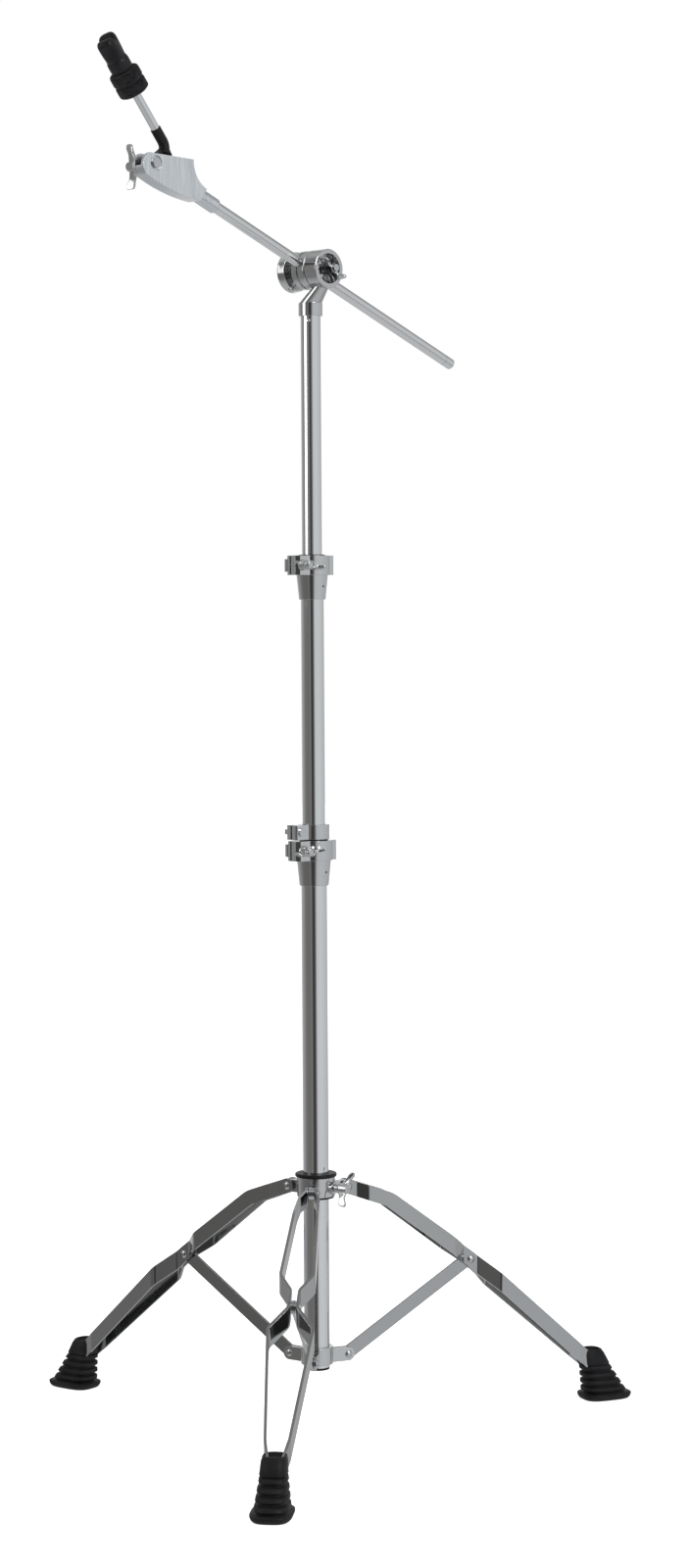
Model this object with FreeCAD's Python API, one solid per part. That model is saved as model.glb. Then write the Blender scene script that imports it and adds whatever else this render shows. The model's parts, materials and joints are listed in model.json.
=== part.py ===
"""Cymbal boom stand: double-braced tripod, three telescoping tubes, tilter, boom rod and cymbal post.

Frame: millimetres, +Z up, origin on the column axis at floor level. The front leg points along -Y.
Each leg is drawn along +X and turned into place. The clamps, tilter and boom are drawn along +X too.
"""
import FreeCAD, Part
import math
import os

V = FreeCAD.Vector
ORIGIN = V(0, 0, 0)
X = V(1, 0, 0)
Y = V(0, 1, 0)
Z = V(0, 0, 1)

# ---------------------------------------------------------------- fits
SLIDE_CLEARANCE = 0.10      # radial, between telescoping tubes
PIN_CLEARANCE = 0.08        # radial, a pivot pin in a part that turns on it
OPEN_PIN_CLEARANCE = 0.30   # radial, the two leg tops whose pivots are left open
SEAT_CLEARANCE = 0.05       # radial, fixed parts that fit over each other
SIDE_GAP = 0.3              # between flat faces that move past each other
FACE_GAP = 0.1              # between flat faces fixed to each other

# ---------------------------------------------------------------- column
TUBE_WALL = 1.5
LOWER_TUBE_RADIUS = 14.3
MIDDLE_TUBE_RADIUS = LOWER_TUBE_RADIUS - TUBE_WALL - SLIDE_CLEARANCE
UPPER_TUBE_RADIUS = MIDDLE_TUBE_RADIUS - TUBE_WALL - SLIDE_CLEARANCE
LOWER_TUBE_BOTTOM = 70.0
LOWER_CLAMP_BASE = 602.0
LOWER_CLAMP_TAPER = 28.0
LOWER_CLAMP_RING = 22.0
MIDDLE_TUBE_LENGTH = 525.0
MIDDLE_TUBE_SHOWING = 248.4     # from the top of the memory lock to the foot of the upper clamp
UPPER_CLAMP_TAPER = 27.0
UPPER_CLAMP_RING = 21.5
UPPER_TUBE_LENGTH = 510.0
UPPER_TUBE_SHOWING = 264.7      # from the top of the upper clamp to the foot of the tilter socket
GLIDE_HEIGHT = 8.0
GLIDE_SPIGOT = 12.0
GLIDE_WALL = 1.5
PLUG_LIP = 2.5
PLUG_SPIGOT = 14.0
PLUG_WALL = 2.5
TUBE_DIMPLE_DEPTH = 0.8     # where the tilter socket is pressed into the upper tube
PAST = 1.0                  # how far a cutting shape runs past the faces that it cuts

# ---------------------------------------------------------------- clamps
CLAMP_DIRECTION = 225.0     # degrees, where the ears point
CLAMP_RING_WALL = 6.5       # ring wall outside the tube that it grips
CLAMP_FOOT_WALL = 2.0
CLAMP_SHOULDER_STEP = 1.8   # the taper ends this far inside the ring's outside
CLAMP_TUBE_SEAT = 2.0       # how far the clamped tube reaches into the ring
CLAMP_HINGE_RADIUS = 5.0
CLAMP_HINGE_OFFSET = 8.0    # hinge knuckle from the clamp's centre plane
SIGHT_HOLE_RADIUS = 1.3
SIGHT_HOLE_TURN = 12.0      # degrees
EAR_GAP = 2.4
EAR_REACH = 17.5            # ear tip beyond the clamped tube
EAR_CORNER = 4.0
EAR_FLOOR = 0.8             # metal left under the split
NEAR_EAR_THICKNESS = 11.5
FAR_EAR_THICKNESS = 8.0
CLAMP_BOLT_RADIUS = 3.0
CLAMP_BOLT_SHIFT = 2.6      # bolt beyond the middle of the ears
CLAMP_BOLT_TAIL = 17.0
CLAMP_HEAD = (8.0, 4.0, 14.0)
CLAMP_NUT = (18.0, 19.0, 6.0)       # length, half span and hub radius
CLAMP_NUT_WING_START = 9.5
LOWER_NUT_TURN = 8.0        # degrees from level
UPPER_NUT_TURN = -18.0
EAR_FLAT = 7.0              # level seat under the wing nut, inwards from the bolt
BUSHING_LIP = 1.2
BUSHING_LIP_REACH = 1.5
BUSHING_SLIT = 1.8
MEMORY_LOCK_HEIGHT = 16.2
MEMORY_LOCK_WALL = 4.8
MEMORY_LOCK_HALF_WIDTH = 9.6
MEMORY_LOCK_REACH = 18.5
KEY_BOLT_RADIUS = 2.5
KEY_BOLT_FLANGE = (4.5, 2.0)        # radius and thickness
KEY_HEAD_HALF_WIDTH = 2.8
KEY_HEAD_LENGTH = 5.9
KEY_NUT = (4.6, 2.4)                # radius and thickness

# ---------------------------------------------------------------- tripod
LEG_NAMES = {"front": 270.0, "right": 30.0, "left": 150.0}
OPEN_LEGS = ("right", "left")
PIVOT_RADIUS = 36.0         # leg top and strut foot pivots, from the column axis
LEG_PIVOT_HEIGHT = 267.0
STRUT_PIVOT_HEIGHT = 81.0
ELBOW_PIVOT_RADIUS = 186.0  # where strut and leg meet; its height is midway, so both links are equal
LEG_BEND = (84.0, 250.0)
LEG_END = (334.8, 44.6)
STRAP_WIDTH = 16.0
STRAP_THICKNESS = 3.0
STRAP_TOP_OFFSET = 5.0      # strap centre from the leg's centre plane, at the collar
STRAP_PINCH_OFFSET = 4.5    # the same at the strut
STRAP_UPPER_SPREAD = 18.0
STRAP_LOWER_SPREAD = 24.0
STRAP_FOOT_OFFSET = 5.0
STRUT_WIDTH = 15.0
STRUT_THICKNESS = 3.0
PIN_RADIUS = 3.0
RIVET_HEAD_RADIUS = 4.6
RIVET_HEAD_HEIGHT = 2.0
FIXED_RIVET_HEAD = (4.2, 1.8)       # radius and height, in the lower bracket
SPACER_RADIUS = 6.4
BRACKET_HEIGHT = 19.0
BRACKET_EAR_HALF_HEIGHT = 7.5
BRACKET_WALL = 3.6
BRACKET_EAR_THICKNESS = 2.8
COLLAR_HEIGHT = 21.0
COLLAR_CENTRE_DROP = 2.5    # leg pivots below the middle of the collar ring
COLLAR_BUSHING_WALL = 2.8
COLLAR_WALL = 4.0
COLLAR_FLANGE_HEIGHT = 4.4
COLLAR_FLANGE_REACH = 2.0
COLLAR_LIP = 2.2
COLLAR_LUG_HALF_HEIGHT = 7.0
COLLAR_BOSS = (6.5, 5.0)    # radius and length
COLLAR_BOLT_DIRECTION = 330.0
COLLAR_BOLT_RADIUS = 4.0
COLLAR_BOLT_NECK = 6.0      # thread showing between boss and head
COLLAR_BOLT_TURN = 62.0     # degrees, wings from level
WING_THICKNESS = 3.8        # wings of the three large wing bolts
FOOT_HEIGHT = 58.0
FOOT_BASE = (60.0, 44.0)
FOOT_TOP = (28.0, 25.0)
FOOT_BASE_RADIUS = 357.0    # foot centre on the floor, from the column axis
FOOT_TOP_RADIUS = 337.5
FOOT_FLANGE = 7.0

# ---------------------------------------------------------------- tilter and boom
BOOM_DIRECTION = 232.0      # degrees, where the cymbal end points
BOOM_ELEVATION = 22.2       # degrees above level
ROD_RADIUS = 6.35
ROD_WALL = 1.5
TILTER_RISE = 36.3          # tilter axis above the socket's top
SOCKET_HEIGHT = 14.4
SOCKET_WALL = 2.2
SOCKET_DEPTH = 9.0
DRUM_RADIUS = 21.5
DRUM_FAR = -9.5
DRUM_NEAR = 10.4
DISC_THICKNESS = 0.8
CUP_DEPTH = 18.2
CUP_WALL = 5.0
CUP_FLOOR = 5.0
CUP_RIBS = 16
CUP_RIB = (9.0, 2.5, 1.8)   # inner radius, height and width
NOSE_RADIUS = 8.0           # boss for the rod's wing bolt on the drum's far side
NOSE_LENGTH = 5.0
DRUM_GROOVE = (1.2, 2.4)    # depth and width
ARM_HEAD_RADIUS = 8.0
ARM_HEAD_DEPTH = 6.0        # arm's upper end, inside the cup's edge
TILTER_NUT_TURN = -45.0     # degrees, wings from level
ROD_BOLT_TURN = 100.0
EYE_RADIUS = 10.0
EYE_WIDTH = 9.0
EYE_BOLT_RADIUS = 4.0
ROD_TAIL = -245.0
END_CAP_LENGTH = 14.0
HOLDER_START = 156.0
ROD_INSERTION = 39.0
HOLDER_HINGE = 254.0        # holder hinge axis, along the rod from the tilter axis
HOLDER_HALF_WIDTH = 9.0
HOLDER_SLOT_HALF_WIDTH = 5.0
HOLDER_SLEEVE_RADIUS = 8.4
HOLDER_BOSS_RADIUS = 10.0
HOLDER_BOSS_FAR = -18.0
HINGE_BOLT_RADIUS = 3.0
HINGE_BOLT_TAIL = 18.0
HINGE_HEAD_RADIUS = 5.4
HINGE_RECESS = (8.0, 2.2)   # radius and depth of the seat for the bolt's head
HINGE_WASHER = (8.5, 1.6)   # radius and thickness
HINGE_NUT = (15.0, 24.0, 6.6)       # length, half span and hub radius
HOLDER_SPLIT = (22.0, 1.2)  # length and width of the slit that grips the rod

# ---------------------------------------------------------------- cymbal post
ELBOW_RADIUS = 5.75
ELBOW_DISC_RADIUS = 9.0
ELBOW_BEND = 14.0           # centre-line radius of the elbow's neck
ELBOW_UPPER_LENGTH = 19.7   # from the elbow's corner to its end
POST_LEAN = 38.8            # degrees from upright, towards the cymbal end
POST_RADIUS = 4.75
POST_SEAT_DEPTH = 3.0       # post inside the end of the elbow
POST_TOP = 104.0            # distances along the post, from the end of the elbow
WASHER_POSITION = 46.0
WASHER_THICKNESS = 1.2
FELT_RADIUS = 17.0
FELT_THICKNESS = 13.1
SLEEVE_WALL = 1.2
NUT_HEIGHT = 40.6
NUT_NECK_RADIUS = 12.25
NUT_SPAN = 32.5


# ================================================================ drawing helpers
def cylinder(radius, start, end):
    """Round bar between two points."""
    line = end - start
    return Part.makeCylinder(radius, line.Length, start, line)


def taper(start_radius, end_radius, start, end):
    """Cone between two points."""
    line = end - start
    return Part.makeCone(start_radius, end_radius, line.Length, start, line)


def ring(outer, inner, start, end):
    """Hollow round bar between two points."""
    over = (end - start).normalize()
    return cylinder(outer, start, end).cut(cylinder(inner, start - over, end + over))


def upright(outer, inner, bottom, top):
    """Ring about the column axis."""
    return ring(outer, inner, V(0, 0, bottom), V(0, 0, top))


def block(x_range, y_range, z_range):
    """Box from three (low, high) pairs."""
    low = V(x_range[0], y_range[0], z_range[0])
    sizes = (x_range[1] - x_range[0], y_range[1] - y_range[0], z_range[1] - z_range[0])
    return Part.makeBox(*sizes, low)


def joined(*shapes):
    """One solid from touching shapes."""
    whole = shapes[0]
    for shape in shapes[1:]:
        whole = whole.fuse(shape)
    return whole.removeSplitter()


def turned(shape, degrees, axis=Z, centre=ORIGIN):
    """A turned copy."""
    copy = shape.copy()
    copy.rotate(centre, axis, degrees)
    return copy


def moved(shape, offset):
    """A shifted copy."""
    copy = shape.copy()
    copy.translate(offset)
    return copy


def set_at(shape, point, along, across):
    """Move a shape drawn about +Z so that +Z points along and +X points across."""
    side = along.cross(across)
    spin = FreeCAD.Rotation(across, side, along, "ZXY")
    return shape.transformed(FreeCAD.Placement(point, spin).toMatrix(), True)


def outline_face(points):
    """Flat face in the XY plane from corner points."""
    corners = [V(x, y, 0) for x, y in points]
    return Part.Face(Part.makePolygon(corners + corners[:1]))


def ribbon(points, bend_radius, width):
    """Flat band in the XY plane: straight runs joined by arcs, of constant width."""
    path = [V(x, y, 0) for x, y in points]
    half = width / 2
    runs = [(b - a).normalize() for a, b in zip(path, path[1:])]
    normals = [V(-run.y, run.x, 0) for run in runs]
    sides = {}
    for side in (1, -1):
        edges = []
        cursor = path[0] + normals[0] * half * side
        for corner, before, after in zip(path[1:-1], range(len(runs) - 1), range(1, len(runs))):
            turn = math.atan2(runs[before].cross(runs[after]).z, runs[before].dot(runs[after]))
            trim = bend_radius * math.tan(abs(turn) / 2)
            way = 1 if turn > 0 else -1
            centre = corner - runs[before] * trim + normals[before] * bend_radius * way
            first = corner - runs[before] * trim + normals[before] * half * side
            last = corner + runs[after] * trim + normals[after] * half * side
            outward = (corner - centre).normalize()
            middle = centre + outward * (bend_radius - half * side * way)
            edges.append(Part.makeLine(cursor, first))
            edges.append(Part.Arc(first, middle, last).toShape())
            cursor = last
        finish = path[-1] + normals[-1] * half * side
        edges.append(Part.makeLine(cursor, finish))
        sides[side] = (edges, path[0] + normals[0] * half * side, finish)
    left, left_start, left_end = sides[1]
    right, right_start, right_end = sides[-1]
    caps = [Part.makeLine(left_end, right_end), Part.makeLine(right_start, left_start)]
    return Part.Face(Part.Wire(Part.__sortEdges__(left + right + caps)))


def rounded_rectangle(centre_x, size, corner, height):
    """Closed wire in a level plane, with round corners."""
    half_x = size[0] / 2
    half_y = size[1] / 2
    edges = []
    diagonal = corner * math.sqrt(0.5)
    for sign_x, sign_y in ((1, 1), (-1, 1), (-1, -1), (1, -1)):
        pivot = V(centre_x + sign_x * (half_x - corner), sign_y * (half_y - corner), height)
        ends = [pivot + V(sign_x * corner, 0, 0), pivot + V(0, sign_y * corner, 0)]
        middle = pivot + V(sign_x * diagonal, sign_y * diagonal, 0)
        edges.append(Part.Arc(ends[0], middle, ends[1]).toShape())
    flat_x = half_x - corner
    flat_y = half_y - corner
    for sign in (1, -1):
        y = sign * half_y
        x = centre_x + sign * half_x
        edges.append(Part.makeLine(V(centre_x - flat_x, y, height), V(centre_x + flat_x, y, height)))
        edges.append(Part.makeLine(V(x, -flat_y, height), V(x, flat_y, height)))
    return Part.Wire(Part.__sortEdges__(edges))


def save(name, *solids):
    """Write one node; several solids stay separate in it."""
    shape = solids[0] if len(solids) == 1 else Part.makeCompound(list(solids))
    shape.exportStep("parts/" + name + ".step")


# ================================================================ fasteners
def wing_plate(half_span, inner, root, tip, thickness):
    """One pair of flared wings drawn in the XZ plane; root and tip are (low, high) heights."""
    lean = (tip[1] - root[1]) / half_span
    edge = [(0, root[0]), (inner, root[0] + 1.0), (half_span - 2.0, tip[0])]
    edge += [(half_span, tip[0] + 2.5), (half_span - 1.0, tip[1]), (half_span - 5.0, tip[1] - lean)]
    edge += [(inner, root[1]), (0, root[1])]
    face = outline_face(edge + [(-x, z) for x, z in reversed(edge[1:-1])])
    plate = face.extrude(V(0, 0, thickness))
    plate.rotate(ORIGIN, X, 90)
    plate.translate(V(0, thickness / 2, 0))
    return plate


def wing_nut(length, half_span, hub_radius, bore_radius, wing_start):
    """Nut seated at the origin, bored along +Z, with its wings along X."""
    hub = taper(hub_radius, hub_radius - 1.2, ORIGIN, V(0, 0, length))
    wings = wing_plate(half_span, hub_radius + 1, (wing_start, length - 1), (wing_start + 5, length + 3), 3.6)
    nut = joined(hub, wings)
    return nut.cut(cylinder(bore_radius, V(0, 0, -1), V(0, 0, length + 5)))


def rivet(radius, half_grip, head_radius, head_height):
    """Pin along Y with a domed head at each end, centred on the origin."""
    pin = cylinder(radius, V(0, -half_grip, 0), V(0, half_grip, 0))
    for side in (1, -1):
        head = Part.makeSphere(head_radius * 1.25, ORIGIN, Z)
        sink = math.sqrt((head_radius * 1.25) ** 2 - head_radius ** 2)
        head.translate(V(0, side * (half_grip - sink), 0))
        band = sorted((side * half_grip, side * (half_grip + head_height)))
        reach = (-head_radius * 2, head_radius * 2)
        pin = pin.fuse(head.common(block(reach, band, reach)))
    return pin.removeSplitter()


# ================================================================ column
def column_heights():
    """Heights that follow from the lengths above."""
    marks = {"lower_ring": LOWER_CLAMP_BASE + LOWER_CLAMP_TAPER}
    marks["lower_top"] = marks["lower_ring"] + LOWER_CLAMP_RING
    marks["lock_top"] = marks["lower_top"] + FACE_GAP + BUSHING_LIP + MEMORY_LOCK_HEIGHT
    marks["upper_base"] = marks["lock_top"] + MIDDLE_TUBE_SHOWING
    marks["upper_ring"] = marks["upper_base"] + UPPER_CLAMP_TAPER
    marks["upper_top"] = marks["upper_ring"] + UPPER_CLAMP_RING
    marks["socket_base"] = marks["upper_top"] + UPPER_TUBE_SHOWING
    marks["socket_top"] = marks["socket_base"] + SOCKET_HEIGHT
    marks["tilter"] = marks["socket_top"] + TILTER_RISE
    return marks


MARKS = column_heights()


def clamp(tube_radius, base, ring_base, top):
    """Tapered collar under a split ring, drawn with its ears along +X and its bolt along Y."""
    bore = tube_radius + SEAT_CLEARANCE
    foot = tube_radius + CLAMP_FOOT_WALL
    shoulder = tube_radius + CLAMP_RING_WALL - CLAMP_SHOULDER_STEP
    outer = tube_radius + CLAMP_RING_WALL
    body = taper(foot, shoulder, V(0, 0, base), V(0, 0, ring_base))
    tip = tube_radius + EAR_REACH
    near = EAR_GAP / 2 + NEAR_EAR_THICKNESS
    far = -EAR_GAP / 2 - FAR_EAR_THICKNESS
    ears = [(0, far), (tip - EAR_CORNER, far), (tip, far + EAR_CORNER), (tip, near - EAR_CORNER)]
    reach = clamp_bolt_reach(tube_radius)
    ears += [(tip - EAR_CORNER, near), (reach - EAR_FLAT, near), (0, outer - 2.0)]
    lugs = outline_face(ears).extrude(V(0, 0, top - ring_base))
    lugs.translate(V(0, 0, ring_base))
    knuckle = V(-outer + 2.0, CLAMP_HINGE_OFFSET, ring_base)
    hinge = cylinder(CLAMP_HINGE_RADIUS, knuckle, knuckle + V(0, 0, top - ring_base))
    body = joined(body, cylinder(outer, V(0, 0, ring_base), V(0, 0, top)), lugs, hinge)
    body = body.cut(cylinder(bore, V(0, 0, base - PAST), V(0, 0, top + PAST)))
    split_heights = (ring_base + EAR_FLOOR, top + PAST)
    body = body.cut(block((0, tip + PAST), (-EAR_GAP / 2, EAR_GAP / 2), split_heights))
    middle = (ring_base + top) / 2
    hole_start = V(reach, far - PAST, middle)
    hole = cylinder(CLAMP_BOLT_RADIUS + SEAT_CLEARANCE, hole_start, V(reach, near + PAST, middle))
    body = body.cut(hole)
    sight = cylinder(SIGHT_HOLE_RADIUS, V(0, tube_radius / 2, 0), V(0, tip, 0))
    sight = turned(sight, SIGHT_HOLE_TURN)
    return body.cut(moved(sight, V(0, 0, (base + ring_base) / 2 + PAST)))


def clamp_bolt_reach(tube_radius):
    """Distance of a clamp's bolt from the column axis."""
    return tube_radius + EAR_REACH / 2 + CLAMP_BOLT_SHIFT


def clamp_bolt(tube_radius, middle):
    """T-head bolt through both ears."""
    reach = clamp_bolt_reach(tube_radius)
    far = -EAR_GAP / 2 - FAR_EAR_THICKNESS
    near = EAR_GAP / 2 + NEAR_EAR_THICKNESS
    shank = cylinder(CLAMP_BOLT_RADIUS, V(reach, far, middle), V(reach, near + CLAMP_BOLT_TAIL, middle))
    wide, thick, tall = CLAMP_HEAD
    sides = (reach - wide / 2, reach + wide / 2)
    head = block(sides, (far - thick, far), (middle - tall / 2, middle + tall / 2))
    return joined(shank, head)


def clamp_nut(tube_radius, middle, tilt):
    """Wing nut on the near ear, its wings turned from level by tilt degrees."""
    nut = wing_nut(*CLAMP_NUT, CLAMP_BOLT_RADIUS + PIN_CLEARANCE, CLAMP_NUT_WING_START)
    nut = turned(nut, tilt)
    near = EAR_GAP / 2 + NEAR_EAR_THICKNESS + SIDE_GAP
    return set_at(nut, V(clamp_bolt_reach(tube_radius), near, middle), Y, X)


def clamp_bushing(tube_radius, inner_radius, bottom, top):
    """Split nylon sleeve between a clamp and the tube that slides in it."""
    sleeve = upright(tube_radius, inner_radius, bottom, top + FACE_GAP)
    lip_top = top + BUSHING_LIP - FACE_GAP
    lip = upright(tube_radius + BUSHING_LIP_REACH, inner_radius, top + FACE_GAP, lip_top)
    slit_reach = tube_radius + BUSHING_LIP_REACH + PAST
    slit = block((0, slit_reach), (-BUSHING_SLIT / 2, BUSHING_SLIT / 2), (bottom + 2, lip_top + PAST))
    return joined(sleeve, lip).cut(slit)


def make_clamp(name, tube_radius, inner_radius, base, ring_base, top, tilt):
    """Clamp body, bushing, bolt and wing nut of one telescoping joint."""
    middle = (ring_base + top) / 2
    pieces = {"": clamp(tube_radius, base, ring_base, top)}
    bushing_bottom = ring_base + CLAMP_TUBE_SEAT + FACE_GAP
    pieces["_bushing"] = clamp_bushing(tube_radius, inner_radius, bushing_bottom, top)
    pieces["_bolt"] = clamp_bolt(tube_radius, middle)
    pieces["_wing_nut"] = clamp_nut(tube_radius, middle, tilt)
    for ending, shape in pieces.items():
        save(name + ending, turned(shape, CLAMP_DIRECTION))


def make_memory_lock():
    """Split stop ring on the middle tube, with its square-headed key bolt."""
    bottom = MARKS["lower_top"] + FACE_GAP + BUSHING_LIP
    top = MARKS["lock_top"]
    bore = MIDDLE_TUBE_RADIUS + SLIDE_CLEARANCE
    outer = MIDDLE_TUBE_RADIUS + MEMORY_LOCK_WALL
    tip = MIDDLE_TUBE_RADIUS + MEMORY_LOCK_REACH
    half = MEMORY_LOCK_HALF_WIDTH
    lugs = block((0, tip), (-half, half), (bottom, top))
    end_edges = [e for e in lugs.Edges if e.BoundBox.XMin > tip - FACE_GAP]
    lugs = lugs.makeFillet(3.0, [e for e in end_edges if e.BoundBox.YLength < FACE_GAP])
    body = joined(cylinder(outer, V(0, 0, bottom), V(0, 0, top)), lugs)
    body = body.cut(cylinder(bore, V(0, 0, bottom - PAST), V(0, 0, top + PAST)))
    body = body.cut(block((0, tip + PAST), (-EAR_GAP / 2, EAR_GAP / 2), (bottom - PAST, top + PAST)))
    reach = clamp_bolt_reach(MIDDLE_TUBE_RADIUS)
    middle = (bottom + top) / 2

    def on_bolt(y):
        return V(reach, y, middle)

    body = body.cut(cylinder(KEY_BOLT_RADIUS + SEAT_CLEARANCE, on_bolt(-half - PAST), on_bolt(half + PAST)))
    nut_radius, nut_thickness = KEY_NUT
    shank = cylinder(KEY_BOLT_RADIUS, on_bolt(-half), on_bolt(half + nut_thickness / 2))
    flange_radius, flange_thickness = KEY_BOLT_FLANGE
    flange_start = -half - flange_thickness
    collar = cylinder(flange_radius, on_bolt(flange_start), on_bolt(-half))
    key = KEY_HEAD_HALF_WIDTH
    depth = (flange_start - KEY_HEAD_LENGTH, flange_start)
    key = block((reach - key, reach + key), depth, (middle - key, middle + key))
    nut = cylinder(nut_radius, on_bolt(half), on_bolt(half + nut_thickness))
    save("memory_lock", turned(body, CLAMP_DIRECTION))
    save("memory_lock_bolt", turned(joined(shank, collar, key, nut), CLAMP_DIRECTION))


def glide(tube_radius, wall_inner, bottom):
    """Nylon bush that ends a sliding tube: a collar below it and a spigot inside it."""
    bore = wall_inner - GLIDE_WALL
    foot = bottom - GLIDE_HEIGHT
    collar = upright(tube_radius, bore, foot, bottom - FACE_GAP)
    spigot = upright(wall_inner - PIN_CLEARANCE, bore, foot, bottom + GLIDE_SPIGOT)
    return joined(collar, spigot)


def make_column():
    """Three tubes, their glides and clamps, the memory lock and the bottom plug."""
    inner = LOWER_TUBE_RADIUS - TUBE_WALL
    lower_top = MARKS["lower_ring"] + CLAMP_TUBE_SEAT
    save("lower_tube", upright(LOWER_TUBE_RADIUS, inner, LOWER_TUBE_BOTTOM, lower_top))
    lip_bottom = LOWER_TUBE_BOTTOM - PLUG_LIP
    lip_top = LOWER_TUBE_BOTTOM - FACE_GAP
    plug = cylinder(LOWER_TUBE_RADIUS - SIDE_GAP, V(0, 0, lip_bottom), V(0, 0, lip_top))
    spigot_top = LOWER_TUBE_BOTTOM + PLUG_SPIGOT
    spigot = upright(inner - SEAT_CLEARANCE, inner - PLUG_WALL, lip_top - PAST, spigot_top)
    save("tube_end_plug", joined(plug, spigot))

    middle_inner = MIDDLE_TUBE_RADIUS - TUBE_WALL
    middle_top = MARKS["upper_ring"] + CLAMP_TUBE_SEAT
    middle_bottom = middle_top - MIDDLE_TUBE_LENGTH
    save("middle_tube", upright(MIDDLE_TUBE_RADIUS, middle_inner, middle_bottom, middle_top))
    save("middle_tube_glide", glide(MIDDLE_TUBE_RADIUS, middle_inner, middle_bottom))

    upper_inner = UPPER_TUBE_RADIUS - TUBE_WALL
    upper_top = MARKS["socket_base"] + SOCKET_DEPTH
    upper_bottom = upper_top - UPPER_TUBE_LENGTH
    tube = upright(UPPER_TUBE_RADIUS, upper_inner, upper_bottom, upper_top)
    dimple_radius = 3.0
    dimple_centre = -UPPER_TUBE_RADIUS + TUBE_DIMPLE_DEPTH - dimple_radius
    dimple = Part.makeSphere(dimple_radius, V(-1.0, dimple_centre, MARKS["socket_base"] - 5))
    save("upper_tube", tube.cut(dimple))
    save("upper_tube_glide", glide(UPPER_TUBE_RADIUS, upper_inner, upper_bottom))

    sliding_middle = MIDDLE_TUBE_RADIUS + SLIDE_CLEARANCE
    make_clamp("lower_clamp", LOWER_TUBE_RADIUS, sliding_middle, LOWER_CLAMP_BASE,
               MARKS["lower_ring"], MARKS["lower_top"], LOWER_NUT_TURN)
    sliding_upper = UPPER_TUBE_RADIUS + SLIDE_CLEARANCE
    make_clamp("upper_clamp", MIDDLE_TUBE_RADIUS, sliding_upper, MARKS["upper_base"],
               MARKS["upper_ring"], MARKS["upper_top"], UPPER_NUT_TURN)
    make_memory_lock()


# ================================================================ tripod
ELBOW_PIVOT_HEIGHT = (LEG_PIVOT_HEIGHT + STRUT_PIVOT_HEIGHT) / 2
LEG_PIVOT = (PIVOT_RADIUS, LEG_PIVOT_HEIGHT)
STRUT_PIVOT = (PIVOT_RADIUS, STRUT_PIVOT_HEIGHT)
ELBOW_PIVOT = (ELBOW_PIVOT_RADIUS, ELBOW_PIVOT_HEIGHT)


def across(radius, spot, half_length=40.0):
    """Bar along Y through a point of the leg's side view."""
    return cylinder(radius, V(spot[0], -half_length, spot[1]), V(spot[0], half_length, spot[1]))


def side_prism(face, half_depth):
    """Stand a face drawn in XY up into XZ and give it depth both ways along Y."""
    solid = face.extrude(V(0, 0, 2 * half_depth))
    solid.rotate(ORIGIN, X, 90)
    solid.translate(V(0, half_depth, 0))
    return solid


def leg_strap(side, top_clearance):
    """One bent flat bar of a leg: side view and plan view bands, intersected."""
    view = ribbon([LEG_PIVOT, LEG_BEND, ELBOW_PIVOT, LEG_END], 30.0, STRAP_WIDTH)
    profile = side_prism(view, 40.0).fuse(across(STRAP_WIDTH / 2, LEG_PIVOT))
    top = PIVOT_RADIUS
    elbow = ELBOW_PIVOT_RADIUS
    end = LEG_END[0]
    plan = [(top - 12, STRAP_TOP_OFFSET), (top + 10, STRAP_TOP_OFFSET), (top + 24, 10.5)]
    plan += [(elbow - 26, STRAP_UPPER_SPREAD), (elbow - 9, STRAP_PINCH_OFFSET)]
    plan += [(elbow + 9, STRAP_PINCH_OFFSET), (elbow + 30, STRAP_LOWER_SPREAD)]
    plan += [(end - 16, 12.5), (end + 12, STRAP_FOOT_OFFSET)]
    band = ribbon([(x, side * y) for x, y in plan], 6.0, STRAP_THICKNESS)
    bar = profile.common(band.extrude(V(0, 0, 400.0)))
    bar = bar.cut(across(PIN_RADIUS + top_clearance, LEG_PIVOT))
    return bar.cut(across(PIN_RADIUS + SEAT_CLEARANCE, ELBOW_PIVOT))


def strut():
    """Flat brace between the lower bracket and the leg."""
    bar = side_prism(ribbon([STRUT_PIVOT, ELBOW_PIVOT], 1.0, STRUT_WIDTH), STRUT_THICKNESS / 2)
    for spot in (STRUT_PIVOT, ELBOW_PIVOT):
        bar = bar.fuse(across(STRUT_WIDTH / 2, spot, STRUT_THICKNESS / 2))
    for spot in (STRUT_PIVOT, ELBOW_PIVOT):
        bar = bar.cut(across(PIN_RADIUS + PIN_CLEARANCE, spot))
    return bar.removeSplitter()


def foot():
    """Rubber foot: flared base, tapering body and a smooth top band."""
    lean = (FOOT_BASE_RADIUS - FOOT_TOP_RADIUS) / (FOOT_HEIGHT - FOOT_FLANGE)
    flange = [rounded_rectangle(FOOT_BASE_RADIUS, (FOOT_BASE[0] - 4, FOOT_BASE[1] - 4), 13.0, 0)]
    flange += [rounded_rectangle(FOOT_BASE_RADIUS, FOOT_BASE, 15.0, FOOT_FLANGE)]
    body = Part.makeLoft(flange, True, True)
    waist = FOOT_HEIGHT - 16.0
    levels = [(FOOT_FLANGE, 54.0, 40.0, 14.0), (waist, 35.0, 29.0, 10.0)]
    levels += [(FOOT_HEIGHT, FOOT_TOP[0], FOOT_TOP[1], 8.0)]
    for lower, upper in zip(levels, levels[1:]):
        wires = []
        for height, length, width, corner in (lower, upper):
            centre = FOOT_BASE_RADIUS - lean * (height - FOOT_FLANGE)
            wires.append(rounded_rectangle(centre, (length, width), corner, height))
        body = body.fuse(Part.makeLoft(wires, True, True))
    return body.removeSplitter()


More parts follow.
